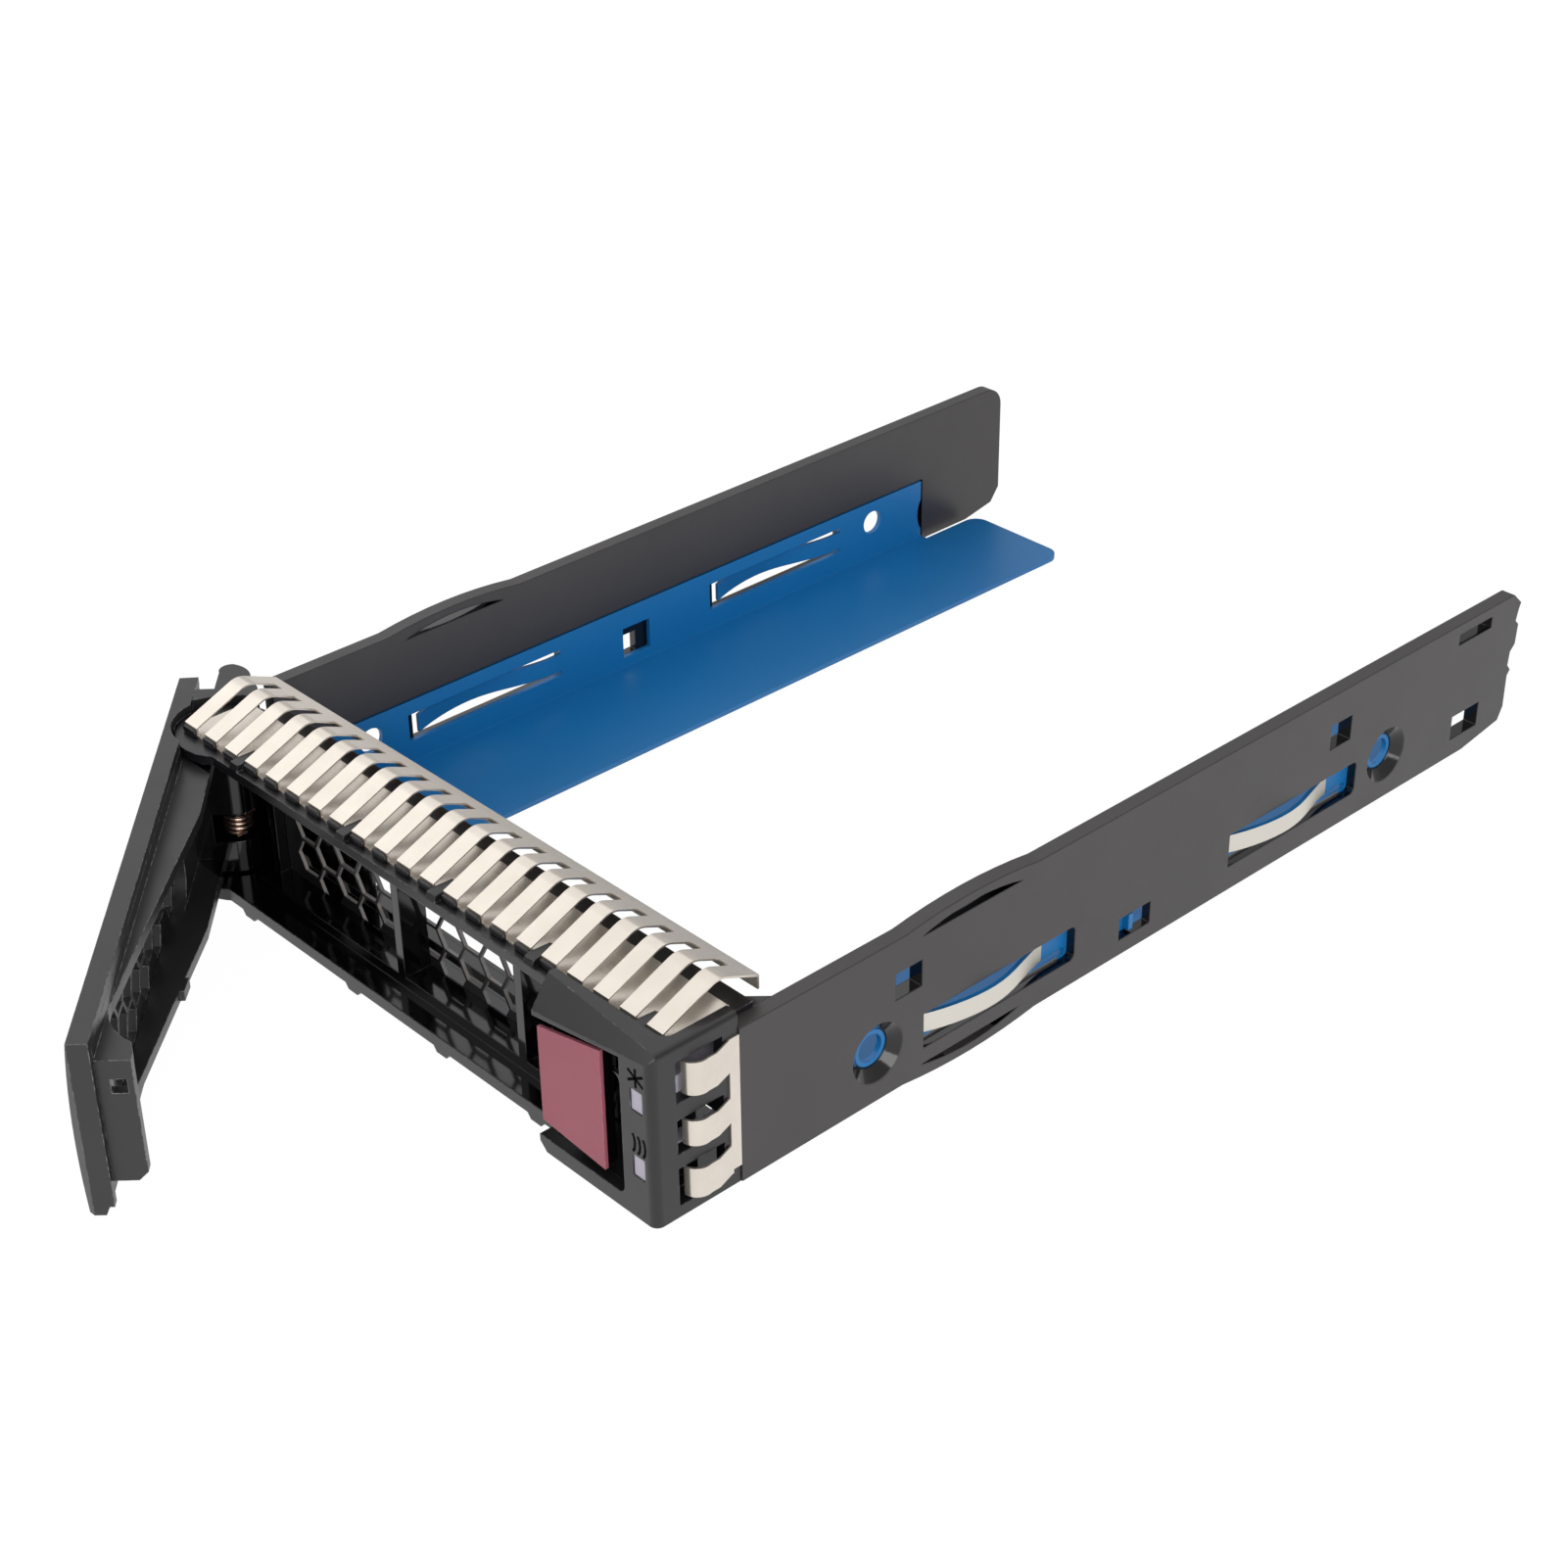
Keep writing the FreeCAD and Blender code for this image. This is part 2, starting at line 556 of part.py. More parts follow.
def pipe_windows():
    """Square windows in the front wall for the two light pipes."""
    w = PIPE_WIDTH / 2
    h = PIPE_HEIGHT / 2
    return [box(PIPE_X - w, PIPE_X + w, -1, HOUSING_WALL + 1, z - h, z + h) for z in PIPE_ZS]


def ear(z0, z1):
    """The round corner about the hinge, joined back to the frame."""
    disc = post(HINGE_X, HINGE_Y, EAR_R, z0, z1)
    return disc.fuse(box(HINGE_X - EAR_R, HINGE_X, HINGE_Y, BEZEL_REAR_Y, z0, z1))


def bars():
    """The upright bars between the raised floor's edge and the screen."""
    return [box(x, x + BAR_WIDTH, FLOOR_STEP_Y, SCREEN_Y, BOTTOM_WALL, TOP_WALL_Z) for x in BAR_XS]


def screen_seat():
    """The rims and posts round the screen, with a rail behind it, and the walls behind the hinge."""
    left, right, rear = GRILLE_LEFT_X, HOUSING_LEFT_X, BEZEL_REAR_Y
    behind = SCREEN_Y + SCREEN_SHEET
    low, high = BOTTOM_WALL, TOP_WALL_Z
    rims = [box(left, right, behind, rear, high - 2.0, high), box(left, right, behind, rear, low, low + 1.0),
            box(left, right, behind, rear, *MID_RAIL_Z)]
    posts = [box(left - WALL, left, SCREEN_Y - WALL, rear, low, high),
             box(right, right + HOUSING_WALL, SCREEN_Y, rear, low, high)]
    end = HINGE_X - EAR_R
    ring = post(HINGE_X, HINGE_Y, EAR_R, low, high).cut(post(HINGE_X, HINGE_Y, EAR_R - WALL, low, high))
    corner = [ring.common(box(end, HINGE_X, HINGE_Y, rear, low, high)), box(end, left, rear - WALL, rear, low, high)]
    return rims + posts + corner


def floor():
    """The bottom wall: it runs back past the bezel between the rails, and is raised before the screen."""
    front = box(HINGE_X, HOUSING_LEFT_X, FRAME_FRONT_Y, BEZEL_REAR_Y, 0, BOTTOM_WALL)
    side = INNER_X - BRACKET_RECESS_MARGIN
    corner = side - FLOOR_CORNER
    back = plan([(-side, BEZEL_REAR_Y - WALL), (side, BEZEL_REAR_Y - WALL), (side, FLOOR_REAR_Y - FLOOR_CORNER),
                 (corner, FLOOR_REAR_Y), (-corner, FLOOR_REAR_Y), (-side, FLOOR_REAR_Y - FLOOR_CORNER)],
                0, BOTTOM_WALL)
    step = box(GRILLE_LEFT_X - WALL, HOUSING_LEFT_X, FLOOR_STEP_Y, SCREEN_Y, BOTTOM_WALL, FLOOR_STEP_Z)
    return [front, back, step]


def top_wall():
    """The wall that the finger strip lies on, with its gusset against the button side's rail."""
    wall = box(HINGE_X, HOUSING_LEFT_X, FRAME_FRONT_Y, TOP_REAR_Y, TOP_WALL_Z, TOP_SKIN_Z)
    behind = box(HOUSING_LEFT_X, INNER_X, BEZEL_REAR_Y, TOP_REAR_Y, TOP_WALL_Z, TOP_SKIN_Z)
    width, depth = GUSSET
    gusset = plan([(INNER_X - width, TOP_REAR_Y), (INNER_X, TOP_REAR_Y), (INNER_X, TOP_REAR_Y + depth)],
                  TOP_WALL_Z - 1.0, RAIL_HEIGHT)
    return [wall, behind, gusset]


def bezel():
    """The one-piece front moulding: top wall, floor, bars, hinge ears, screen seat and housing."""
    ears = [ear(TOP_WALL_Z, TOP_SKIN_Z), ear(0, BOTTOM_WALL)]
    body = fuse(top_wall() + floor() + ears + bars() + screen_seat() + [housing(), right_foot(), left_foot()]
                + hooks() + feet())
    return cut(body, [hinge_pin(), button_pin(), claw_sweep()])


def right_foot():
    """The tongue behind the housing that the button side's rail is clipped to."""
    z0 = PIPE_ZS[0] + PIPE_HEIGHT / 2 + FOOT_GAP
    z1 = PIPE_ZS[1] - PIPE_HEIGHT / 2 - FOOT_GAP
    x0 = INNER_X - FOOT_THICKNESS
    root = box(x0, BEZEL_X - HOUSING_WALL + 0.01, BEZEL_REAR_Y - 2.0, BEZEL_REAR_Y, z0, z1)
    return root.fuse(box(x0, INNER_X, BEZEL_REAR_Y, FOOT_REAR_Y, z0, z1))


def left_foot():
    """The tongue behind the hinge that the lever side's rail is clipped to."""
    return box(-INNER_X, FOOT_THICKNESS - INNER_X, BEZEL_REAR_Y - WALL, FOOT_REAR_Y, BOTTOM_WALL, CLAW_STEP_Z - 1.0)


def claw_sweep():
    """The room behind the hinge ear that the claw swings through."""
    ring = post(HINGE_X, HINGE_Y, CLAW_SWEEP_R, CLAW_STEP_Z, BEZEL_HEIGHT + 1)
    ring = ring.cut(post(HINGE_X, HINGE_Y, EAR_R + LEVER_PLAY / 2, 0, BEZEL_HEIGHT + 2))
    reach = CLAW_SWEEP_R + 1
    return ring.common(box(HINGE_X - reach, HINGE_X - 3.0, HINGE_Y - 6, HINGE_Y + reach, 0, BEZEL_HEIGHT + 2))


def slot_x(index):
    """Mid-width of the gap after the given number of fingers."""
    return STRIP_LEFT_X + FINGER_PITCH * index


def hooks():
    """Pointed hooks on the top wall that reach back over the strip between groups of fingers."""
    made = []
    front, tip = FRAME_FRONT_Y, FRAME_FRONT_Y + HOOK_REACH
    for index in HOOK_SLOTS:
        x = slot_x(index)
        z = TOP_SKIN_Z
        w = HOOK_WIDTH / 2
        side = [(front, z), (front + 1.0, z), (front + 1.0, z + 0.5), (tip, z + 0.9), (tip - 0.6, z + 1.4),
                (front + 0.3, z + 0.9)]
        wedge = plan([(x - w, front), (x + w, front), (x + w, front + 1.2), (x + 0.1, tip), (x - 0.1, tip),
                      (x - w, front + 1.2)], z, z + 2)
        made.append(profile(side, x - w, x + w).common(wedge))
    return made


def feet():
    """Small bevelled feet under the bottom wall's front edge."""
    made = []
    for index in HOOK_SLOTS[:4]:
        x = slot_x(index) - 0.5
        made.append(prism([V(x - 1.6, FRAME_FRONT_Y, 0), V(x - 1.0, FRAME_FRONT_Y, -FOOT_HEIGHT),
                           V(x + 1.0, FRAME_FRONT_Y, -FOOT_HEIGHT), V(x + 1.6, FRAME_FRONT_Y, 0)], ALONG * 2.0))
    return made


def screen():
    """The perforated steel vent screen behind the bars."""
    x0, x1 = GRILLE_LEFT_X, HOUSING_LEFT_X
    sheet = box(x0 + 0.1, x1 - 0.1, SCREEN_Y, SCREEN_Y + SCREEN_SHEET, BOTTOM_WALL, TOP_WALL_Z)
    flat = HEX_PITCH - HEX_WEB
    step_x = HEX_PITCH * math.sin(math.radians(60))
    side, foot = HEX_MARGIN
    holes = []
    column = 0
    x = x0 + side
    while x < x1 - flat * 0.7:
        z = BOTTOM_WALL + foot + (HEX_PITCH / 2 if column % 2 == 0 else 0)
        while z < TOP_WALL_Z - flat * 0.55:
            holes.append(hexagon(x, SCREEN_Y, z, flat))
            z += HEX_PITCH
        x += step_x
        column += 1
    return sheet.cut(holes)


def hexagon(x, y, z, flat):
    """A flat-topped hexagonal punch through a thin wall at the given depth."""
    r = flat / math.sqrt(3)
    corners = [V(x + r * math.cos(math.radians(60 * k)), y - 1, z + r * math.sin(math.radians(60 * k)))
               for k in range(6)]
    return prism(corners, ALONG * 4)


# ---------------------------------------------------------------- earthing strips

def top_strip():
    """The folded finger strip over the top wall: lower leaf, hemmed tips, arched fingers, rear lip."""
    t = STRIP_SHEET
    z0 = TOP_SKIN_Z
    rear_z = z0 + STRIP_REAR_RISE
    tip, rear = STRIP_TIP_Y, STRIP_REAR_Y
    rise, crown, fall = strip_crest(0)
    low_rise, low_crown, low_fall = strip_crest(t)
    outside = [(tip + STRIP_LEAF, z0), (tip, z0), (tip, z0 + STRIP_HEM), rise + crown, fall, (rear, rear_z),
               (rear, rear_z - STRIP_LIP)]
    inside = [(rear - t, rear_z - STRIP_LIP), (rear - t, rear_z - t), low_fall + low_crown, low_rise,
              (tip + t, z0 + STRIP_HEM - t / 2), (tip + t, z0 + t), (tip + STRIP_LEAF, z0 + t)]
    half = FINGER_SLOT / 2
    body = chain(outside + inside, side_view).extrude(ACROSS * (INNER_X - STRIP_LEFT_X - FINGER_SLOT))
    body.translate(ACROSS * (STRIP_LEFT_X + half))
    tools = []
    for index in range(1, FINGER_COUNT):
        x = slot_x(index)
        tools.append(box(x - half, x + half, tip - 1, SLOT_END_Y, z0 + t, z0 + STRIP_CREST_RISE))
        if index in HOOK_SLOTS:
            tools.append(box(x - half, x + half, tip - 1, FRAME_FRONT_Y + HOOK_REACH - 1, z0 - 1, z0 + 2))
    return cut(body, tools)


def strip_crest(drop):
    """The rounded crest in the side view, lowered by a drop: where it starts, its crown and its end."""
    top = TOP_SKIN_Z + STRIP_CREST_RISE - drop
    up = (STRIP_CREST_RISE - STRIP_HEM) / (STRIP_CREST_Y - STRIP_TIP_Y) * STRIP_BEND
    down = (STRIP_CREST_RISE - STRIP_REAR_RISE) / (STRIP_REAR_Y - STRIP_CREST_Y) * STRIP_BEND
    return ((STRIP_CREST_Y - STRIP_BEND, top - up), (STRIP_CREST_Y, top - up / 2),
            (STRIP_CREST_Y + STRIP_BEND, top - down))


def side_strip():
    """The side earthing strip: an upright band with three flat fingers that curl in through the windows."""
    t = SIDE_SHEET
    x = BEZEL_X
    root = BEZEL_REAR_Y - SIDE_BAND
    tip = SIDE_WINDOW_FRONT_Y + 1.5
    out = x + SIDE_BULGE
    band = box(x, x + t, root, BEZEL_REAR_Y - 0.05, SIDE_WINDOW_ZS[0][0] + 1.0, SIDE_WINDOW_ZS[2][1] - 0.8)
    inner = [(x - SIDE_TIP, tip + t, x + SIDE_BULGE / 2 - t / 2, tip + SIDE_CURL / 3), (out, tip + SIDE_CURL),
             (out, root - SIDE_CURL), (x, root), (x, root + t)]
    outer = [(x + t, root + t), (x + t, root), (out + t, root - SIDE_CURL),
             (out + t, tip + SIDE_CURL, x + SIDE_BULGE / 2 + t / 2, tip + SIDE_CURL / 3 - t), (x - SIDE_TIP, tip)]
    fingers = [slab(inner + outer, z0 + 0.4, z1 - 0.9) for z0, z1 in SIDE_WINDOW_ZS]
    return fuse([band] + fingers)


def light_pipe(z):
    """One light pipe: a clear bar from its front window back through the housing."""
    w = PIPE_WIDTH / 2 - PIPE_PLAY
    h = PIPE_HEIGHT / 2 - PIPE_PLAY
    return box(PIPE_X - w, PIPE_X + w, 0.15, BEZEL_REAR_Y - 0.5, z - h, z + h)


# ---------------------------------------------------------------- lever (closed, hinge axis at the origin)

def cover_section():
    """The cover's side view: a bowed face with rims that wrap the arm's plate."""
    z0, z1 = LEVER_FLOOR, LEVER_TOP
    seat = -COVER_SEAT
    face = [(-COVER_LOW_EDGE, z0, -COVER_CREST, COVER_CREST_Z), (-COVER_TOP_EDGE, z1)]
    top_rim = [(LEVER_BACK, z1), (LEVER_BACK, z1 - COVER_RIM), (seat, z1 - COVER_RIM)]
    low_rim = [(seat, z0 + COVER_RIM), (band_back(z0 + COVER_RIM), z0 + COVER_RIM), (band_back(z0), z0)]
    return face + top_rim + low_rim


def band_back(z):
    """The back of the lever's band at a height: it slopes in towards the foot."""
    run, end = LEVER_FLARE
    return LEVER_BACK - run * (end - z) / (end - LEVER_FLOOR - COVER_RIM)


def cover_plan():
    """The cover in plan: a slanted tail and a bevelled tip."""
    face = -COVER_CREST - 1
    bevel = COVER_TIP_BEVEL + 1
    tail = -LEVER_TAIL
    tip = LEVER_TIP
    return [(tail, face), (tip - bevel, face), (tip, face + bevel), (tip, 0), (tail - TAIL_SLANT, 0)]


def ear_clearance():
    """Round pockets that let the lever turn round the bezel's ears."""
    r = EAR_R + LEVER_PLAY
    return [post(0, 0, r, TOP_WALL_Z - LEVER_PLAY, BEZEL_HEIGHT + 1), post(0, 0, r, -1, BOTTOM_WALL + LEVER_PLAY)]


def lever_cover():
    """The cosmetic front cover: a bowed face, wrapped rims, a closed tip and a vent of hexagons."""
    tail = -LEVER_TAIL - TAIL_SLANT
    shell = chain(cover_section(), side_view).extrude(ACROSS * (LEVER_TIP - tail))
    shell.translate(ACROSS * tail)
    tip = box(LEVER_TIP - COVER_RIM, LEVER_TIP, -COVER_SEAT - 0.1, LEVER_BACK, LEVER_FLOOR + COVER_RIM, LEVER_TOP)
    shell = fuse([shell, tip]).common(plan(cover_plan(), LEVER_FLOOR - 1, LEVER_TOP + 1))
    flat = COVER_HEX_PITCH - COVER_HEX_WEB
    step_x = COVER_HEX_PITCH * math.sin(math.radians(60))
    holes = []
    for column in range(GRILLE_COLUMNS):
        rows = 3 if column % 2 == 0 else 2
        for row in range(rows):
            z = BEZEL_HEIGHT / 2 + (row - (rows - 1) / 2) * COVER_HEX_PITCH
            holes.append(hexagon(GRILLE_START + step_x * column, -COVER_CREST, z, flat))
    return cut(shell, holes + ear_clearance())


def rounded_window(x0, x1, z0, z1, r):
    """A round-cornered opening through the lever's plate."""
    opening = box(x0, x1, ARM_FRONT - 1, LEVER_BACK + 1, z0, z1)
    return opening.makeFillet(r, edges_along(opening, ALONG, lambda p: True))


def arm_walls():
    """The walls under and over the vent: deep at the hinge, slim along it, the upper one swept up to the flange."""
    end = FLANGE_END
    front = [(ARM_TOP_EDGE[0][0], ARM_FRONT), (end, ARM_FRONT)]
    sweep = [(end, FLANGE_EDGE), (end - FLANGE_WALL, FLANGE_EDGE),
             (end - ARM_SWEEP_END, FLANGE_EDGE - 0.5, end - ARM_SWEEP_END - 3.0, -ARM_SLIM + 0.9),
             (end - ARM_SWEEP_START, -ARM_SLIM)]
    upper = front + sweep + list(reversed(ARM_TOP_EDGE))
    low_end = end - ARM_LOW_END
    lower = front[:1] + [(low_end, ARM_FRONT), (low_end, LEVER_BACK)] + list(reversed(ARM_LOW_EDGE))
    return [slab(lower, ARM_LOW_Z, ARM_LOW_Z + WALL), slab(upper, ARM_HIGH_Z - WALL, ARM_HIGH_Z)]


def flange():
    """The end flange, with the window that the button's nose catches near its free edge."""
    edge, foot, high = FLANGE_EDGE, FLANGE_FOOT_Z, ARM_HIGH_Z
    side = [(ARM_FRONT, foot), (edge - FLANGE_BEVEL, foot), (edge, foot + FLANGE_BEVEL), (edge, high),
            (ARM_FRONT, high)]
    wall = profile(side, FLANGE_END - FLANGE_WALL, FLANGE_END)
    catch_y = LATCH_Y - HINGE_Y
    catch = box(FLANGE_END - 3 * LATCH_BITE, LEVER_TIP + 1, catch_y - LATCH_DEPTH, catch_y + LATCH_PLAY,
                LATCH_Z - LATCH_PLAY, LATCH_Z + LATCH_HEIGHT + LATCH_PLAY)
    return wall.cut(catch)


def lever_arm():
    """The working lever behind the cover: plate, box walls, knuckles, tip flange and the cam claw."""
    z0 = LEVER_FLOOR + COVER_RIM + COVER_PLAY
    z1 = LEVER_TOP - COVER_RIM - COVER_PLAY
    tip = LEVER_TIP - COVER_RIM - COVER_PLAY
    side = [(ARM_FRONT, z0), (band_back(z0), z0), (LEVER_BACK, LEVER_FLARE[1]), (LEVER_BACK, z1), (ARM_FRONT, z1)]
    plate = profile(side, -LEVER_TAIL, tip)
    vent = rounded_window(GRILLE_START - 4.0, FLANGE_END - FLANGE_WALL - 4.0, ARM_LOW_Z + WALL,
                          ARM_HIGH_Z - WALL, VENT_CORNER_R)
    low, high = SPRING_GAP
    foot = BOTTOM_WALL + LEVER_PLAY
    knuckles = [post(0, 0, KNUCKLE_R, foot, low), post(0, 0, KNUCKLE_R, high, ARM_HIGH_Z)]
    webs = [box(-2.0, 3.0, LEVER_BACK - 0.5, 0, foot, low), box(-2.0, 3.0, LEVER_BACK - 0.5, 0, high, ARM_HIGH_Z),
            box(-2.0, 3.0, LEVER_BACK - 0.5, -KNUCKLE_R, low, high)]
    body = fuse([plate.cut(vent)] + arm_walls() + [flange(), claw()] + knuckles + webs)
    bore = post(0, 0, PIN_R + PIN_PLAY, -1, BEZEL_HEIGHT + 1)
    beyond = box(tip, LEVER_TIP + 1, ARM_FRONT - 0.1, LEVER_BACK, -1, BEZEL_HEIGHT + 1)
    return cut(body, ear_clearance() + [bore, beyond])


def claw():
    """The cam claw past the hinge: a notch for the cage's edge, then the hook that pulls the caddy in."""
    notch = -(OUTER_X + HINGE_X)
    tip = -CLAW_TIP
    outline = [(-6.0, LEVER_BACK - 0.5), (notch, LEVER_BACK - 0.5), (notch, -2.85),
               (tip + 2.3, -2.85, tip + 0.5, -2.5), (tip, -1.2, tip + 1.1, 0.5), (tip + 3.7, 1.7), (-9.4, 3.0),
               (-6.8, 2.6), (-6.9, -3.0)]
    body = slab(outline, CLAW_FLOOR_Z, LEVER_TOP)
    rim = box(-LEVER_TIP, LEVER_TIP, -COVER_CREST, LEVER_BACK + COVER_PLAY, LEVER_TOP - COVER_RIM - COVER_PLAY,
              BEZEL_HEIGHT)
    return cut(body, [post(0, 0, EAR_R + LEVER_PLAY, -1, BEZEL_HEIGHT + 1), rim])


def opened(shape):
    """The closed lever turned open about the pin and set in its place."""
    turned = shape.copy()
    turned.rotate(V(0, 0, 0), UP, -LEVER_OPEN_DEG)
    turned.translate(V(HINGE_X, HINGE_Y, 0))
    return turned


def hinge_pin():
    """The steel hinge pin through both ears."""
    return post(HINGE_X, HINGE_Y, PIN_R, 0.5, TOP_SKIN_Z)


def torsion_spring(x, y, z, coil_r, wire_r, turns):
    """A close-wound torsion spring round a pin: square wire in short straight lengths along a helix."""
    pitch = wire_r * 2 + 0.1
    rings = []
    for step in range(turns * COIL_STEPS + 1):
        angle = 2 * math.pi * step / COIL_STEPS
        height = z + pitch * step / COIL_STEPS
        rings.append([V(x + (coil_r + a * wire_r) * math.cos(angle), y + (coil_r + a * wire_r) * math.sin(angle),
                        height + b * wire_r) for a, b in ((-1, -1), (1, -1), (1, 1), (-1, 1))])
    faces = [flat_face(rings[0]), flat_face(rings[-1])]
    for here, there in zip(rings, rings[1:]):
        for k in range(4):
            nearer, further = here[k - 1], there[k - 1]
            faces.append(flat_face([nearer, here[k], there[k]]))
            faces.append(flat_face([nearer, there[k], further]))
    solid = Part.Solid(Part.Shell(faces))
    return solid if solid.Volume > 0 else solid.reversed()


def flat_face(corners):
    """A flat face through its corners."""
    return Part.Face(Part.makePolygon(corners + [corners[0]]))


def hinge_spring():
    """The spring that throws the lever open."""
    return torsion_spring(HINGE_X, HINGE_Y, SPRING_GAP[0] + 0.6, SPRING_R, SPRING_WIRE_R, SPRING_TURNS)


def button_spring():
    """The spring that returns the button."""
    foot = BUTTON_SPRING_GAP[0] + 0.5
    return torsion_spring(BUTTON_PIN_X, BUTTON_PIN_Y, foot, BUTTON_SPRING_R, BUTTON_WIRE_R, BUTTON_TURNS)


def button_slab(inset, y0, y1):
    """The button's trapezoid, taller at the right, as a slab between two depths."""
    x0 = HOUSING_LEFT_X + BUTTON_LEFT_INSET + inset
    x1 = BEZEL_X - BUTTON_RIGHT_INSET - inset
    feet = [z + inset for z in BUTTON_FOOT_ZS]
    tops = [BEZEL_HEIGHT - drop - inset for drop in BUTTON_DROPS]
    corners = [V(x0, y0, feet[0]), V(x1, y0, feet[1]), V(x1, y0, tops[1]), V(x0, y0, tops[0])]
    return prism(corners, ALONG * (y1 - y0))


def button_face():
    """The coloured touch face, moulded on to the button."""
    return button_slab(0, BUTTON_FRONT_Y, BUTTON_FRONT_Y + BUTTON_FACE_SHEET)


def button_body():
    """The button behind its face: plate, arm, barrel on the pin, and the nose that holds the lever."""
    y0 = BUTTON_FRONT_Y + BUTTON_FACE_SHEET
    plate = button_slab(0.3, y0, y0 + BUTTON_BODY)
    arm_x = HOUSING_LEFT_X + HOUSING_WALL + LATCH_PLAY
    low, high = BUTTON_SPRING_GAP
    foot, top = BOTTOM_WALL + LATCH_PLAY, TOP_WALL_Z - LATCH_PLAY
    barrels = [post(BUTTON_PIN_X, BUTTON_PIN_Y, BARREL_R, foot, low),
               post(BUTTON_PIN_X, BUTTON_PIN_Y, BARREL_R, high, top)]
    arm = box(arm_x, arm_x + BUTTON_ARM, y0 + 0.5, BUTTON_PIN_Y, BUTTON_ARM_Z, LATCH_Z + LATCH_HEIGHT + LATCH_PLAY)
    arm = arm.cut(box(arm_x - 1, arm_x + 3, BUTTON_PIN_Y - 2.4, BUTTON_PIN_Y + 3, low, high))
    tip_x = HINGE_X + FLANGE_END - LATCH_BITE
    root_x = arm_x + 0.5
    nose = plan([(root_x, LATCH_Y + 0.3), (tip_x, LATCH_Y), (tip_x, LATCH_Y - 0.4), (tip_x + 1.6, LATCH_Y - 1.1),
                 (root_x, LATCH_Y - 1.9)], LATCH_Z, LATCH_Z + LATCH_HEIGHT)
    bore = post(BUTTON_PIN_X, BUTTON_PIN_Y, BUTTON_PIN_R + PIN_PLAY, -1, BEZEL_HEIGHT)
    return cut(fuse([plate, arm, nose] + barrels), [bore])


def button_pin():
    """The button's steel pin, held in the housing's top and bottom walls."""
    return post(BUTTON_PIN_X, BUTTON_PIN_Y, BUTTON_PIN_R, 0.8, TOP_WALL_Z + 0.8)


def build():
    """Make every piece and write it out."""
    os.makedirs("parts", exist_ok=True)
    save(rail(plain_front(), notched_rear(), rail_windows()), "rail_right")
    save(mirrored(rail(stepped_front(), plain_rear(), [tab_window()])), "rail_left")
    save(bracket(), "bracket_right")
    save(mirrored(bracket()), "bracket_left")
    save(bezel(), "bezel_frame")
    save(screen(), "vent_screen")
    save(top_strip(), "finger_strip_top")
    save(side_strip(), "finger_strip_side")
    save(light_pipe(PIPE_ZS[1]), "light_pipe_upper")
    save(light_pipe(PIPE_ZS[0]), "light_pipe_lower")
    save(opened(lever_cover()), "lever_cover")
    save(opened(lever_arm()), "lever_arm")
    save(hinge_pin(), "hinge_pin")
    save(hinge_spring(), "hinge_spring")
    save(button_spring(), "button_spring")
    save(button_face(), "button_face")
    save(button_body(), "button_body")
    save(button_pin(), "button_pin")


build()
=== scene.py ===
"""Looks for the hot swap drive caddy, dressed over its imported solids.

Lengths are written in millimetres and turned to metres by MM, except on the stage, which is in
metres. The frame is the record's: origin under the bezel's floor, +Y along the rails, +Z up, +X to
the button side.
"""
import math
import bmesh
import bpy
from mathutils import Matrix, Vector


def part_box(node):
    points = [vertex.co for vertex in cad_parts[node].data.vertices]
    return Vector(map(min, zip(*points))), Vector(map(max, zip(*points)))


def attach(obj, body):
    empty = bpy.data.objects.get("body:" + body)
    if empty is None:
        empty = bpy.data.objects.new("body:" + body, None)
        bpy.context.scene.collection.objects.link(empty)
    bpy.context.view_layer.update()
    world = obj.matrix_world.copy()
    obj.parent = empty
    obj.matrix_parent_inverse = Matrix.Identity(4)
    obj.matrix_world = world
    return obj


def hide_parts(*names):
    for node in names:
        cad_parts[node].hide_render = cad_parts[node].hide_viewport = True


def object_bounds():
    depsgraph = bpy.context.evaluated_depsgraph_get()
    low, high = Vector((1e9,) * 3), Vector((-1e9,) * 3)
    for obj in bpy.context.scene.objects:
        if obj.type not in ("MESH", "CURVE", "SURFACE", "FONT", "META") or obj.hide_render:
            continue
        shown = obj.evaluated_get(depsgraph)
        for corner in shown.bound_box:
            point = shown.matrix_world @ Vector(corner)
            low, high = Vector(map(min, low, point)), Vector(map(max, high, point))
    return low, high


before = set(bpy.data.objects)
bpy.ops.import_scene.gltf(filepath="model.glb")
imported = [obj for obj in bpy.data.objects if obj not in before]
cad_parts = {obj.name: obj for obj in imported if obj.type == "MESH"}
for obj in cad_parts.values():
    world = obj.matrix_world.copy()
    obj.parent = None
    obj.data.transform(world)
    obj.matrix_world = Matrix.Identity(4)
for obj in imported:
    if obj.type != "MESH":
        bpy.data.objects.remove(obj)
cad_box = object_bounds()
MM = 0.001

# The brackets' sprung leaves, whose outer faces are bare metal
LEAF_WALL_X = 51.6       # the leaves stand further out than this, the brackets' walls don't
LEAF_MIDDLE_Y = 76.95    # halfway between the two leaves of a bracket
LEAF_SPREAD_Y = 29.5     # from there to the middle of a leaf
LEAF_HALF = 13.8         # half a leaf's length

# The springs: wire radius, turns and length of leg, then how finely the wire is drawn
HINGE_COIL = (0.32, 4, 1.6)
BUTTON_COIL = (0.2, 5, 1.0)
STEPS_PER_TURN = 40
WIRE_SIDES = 12

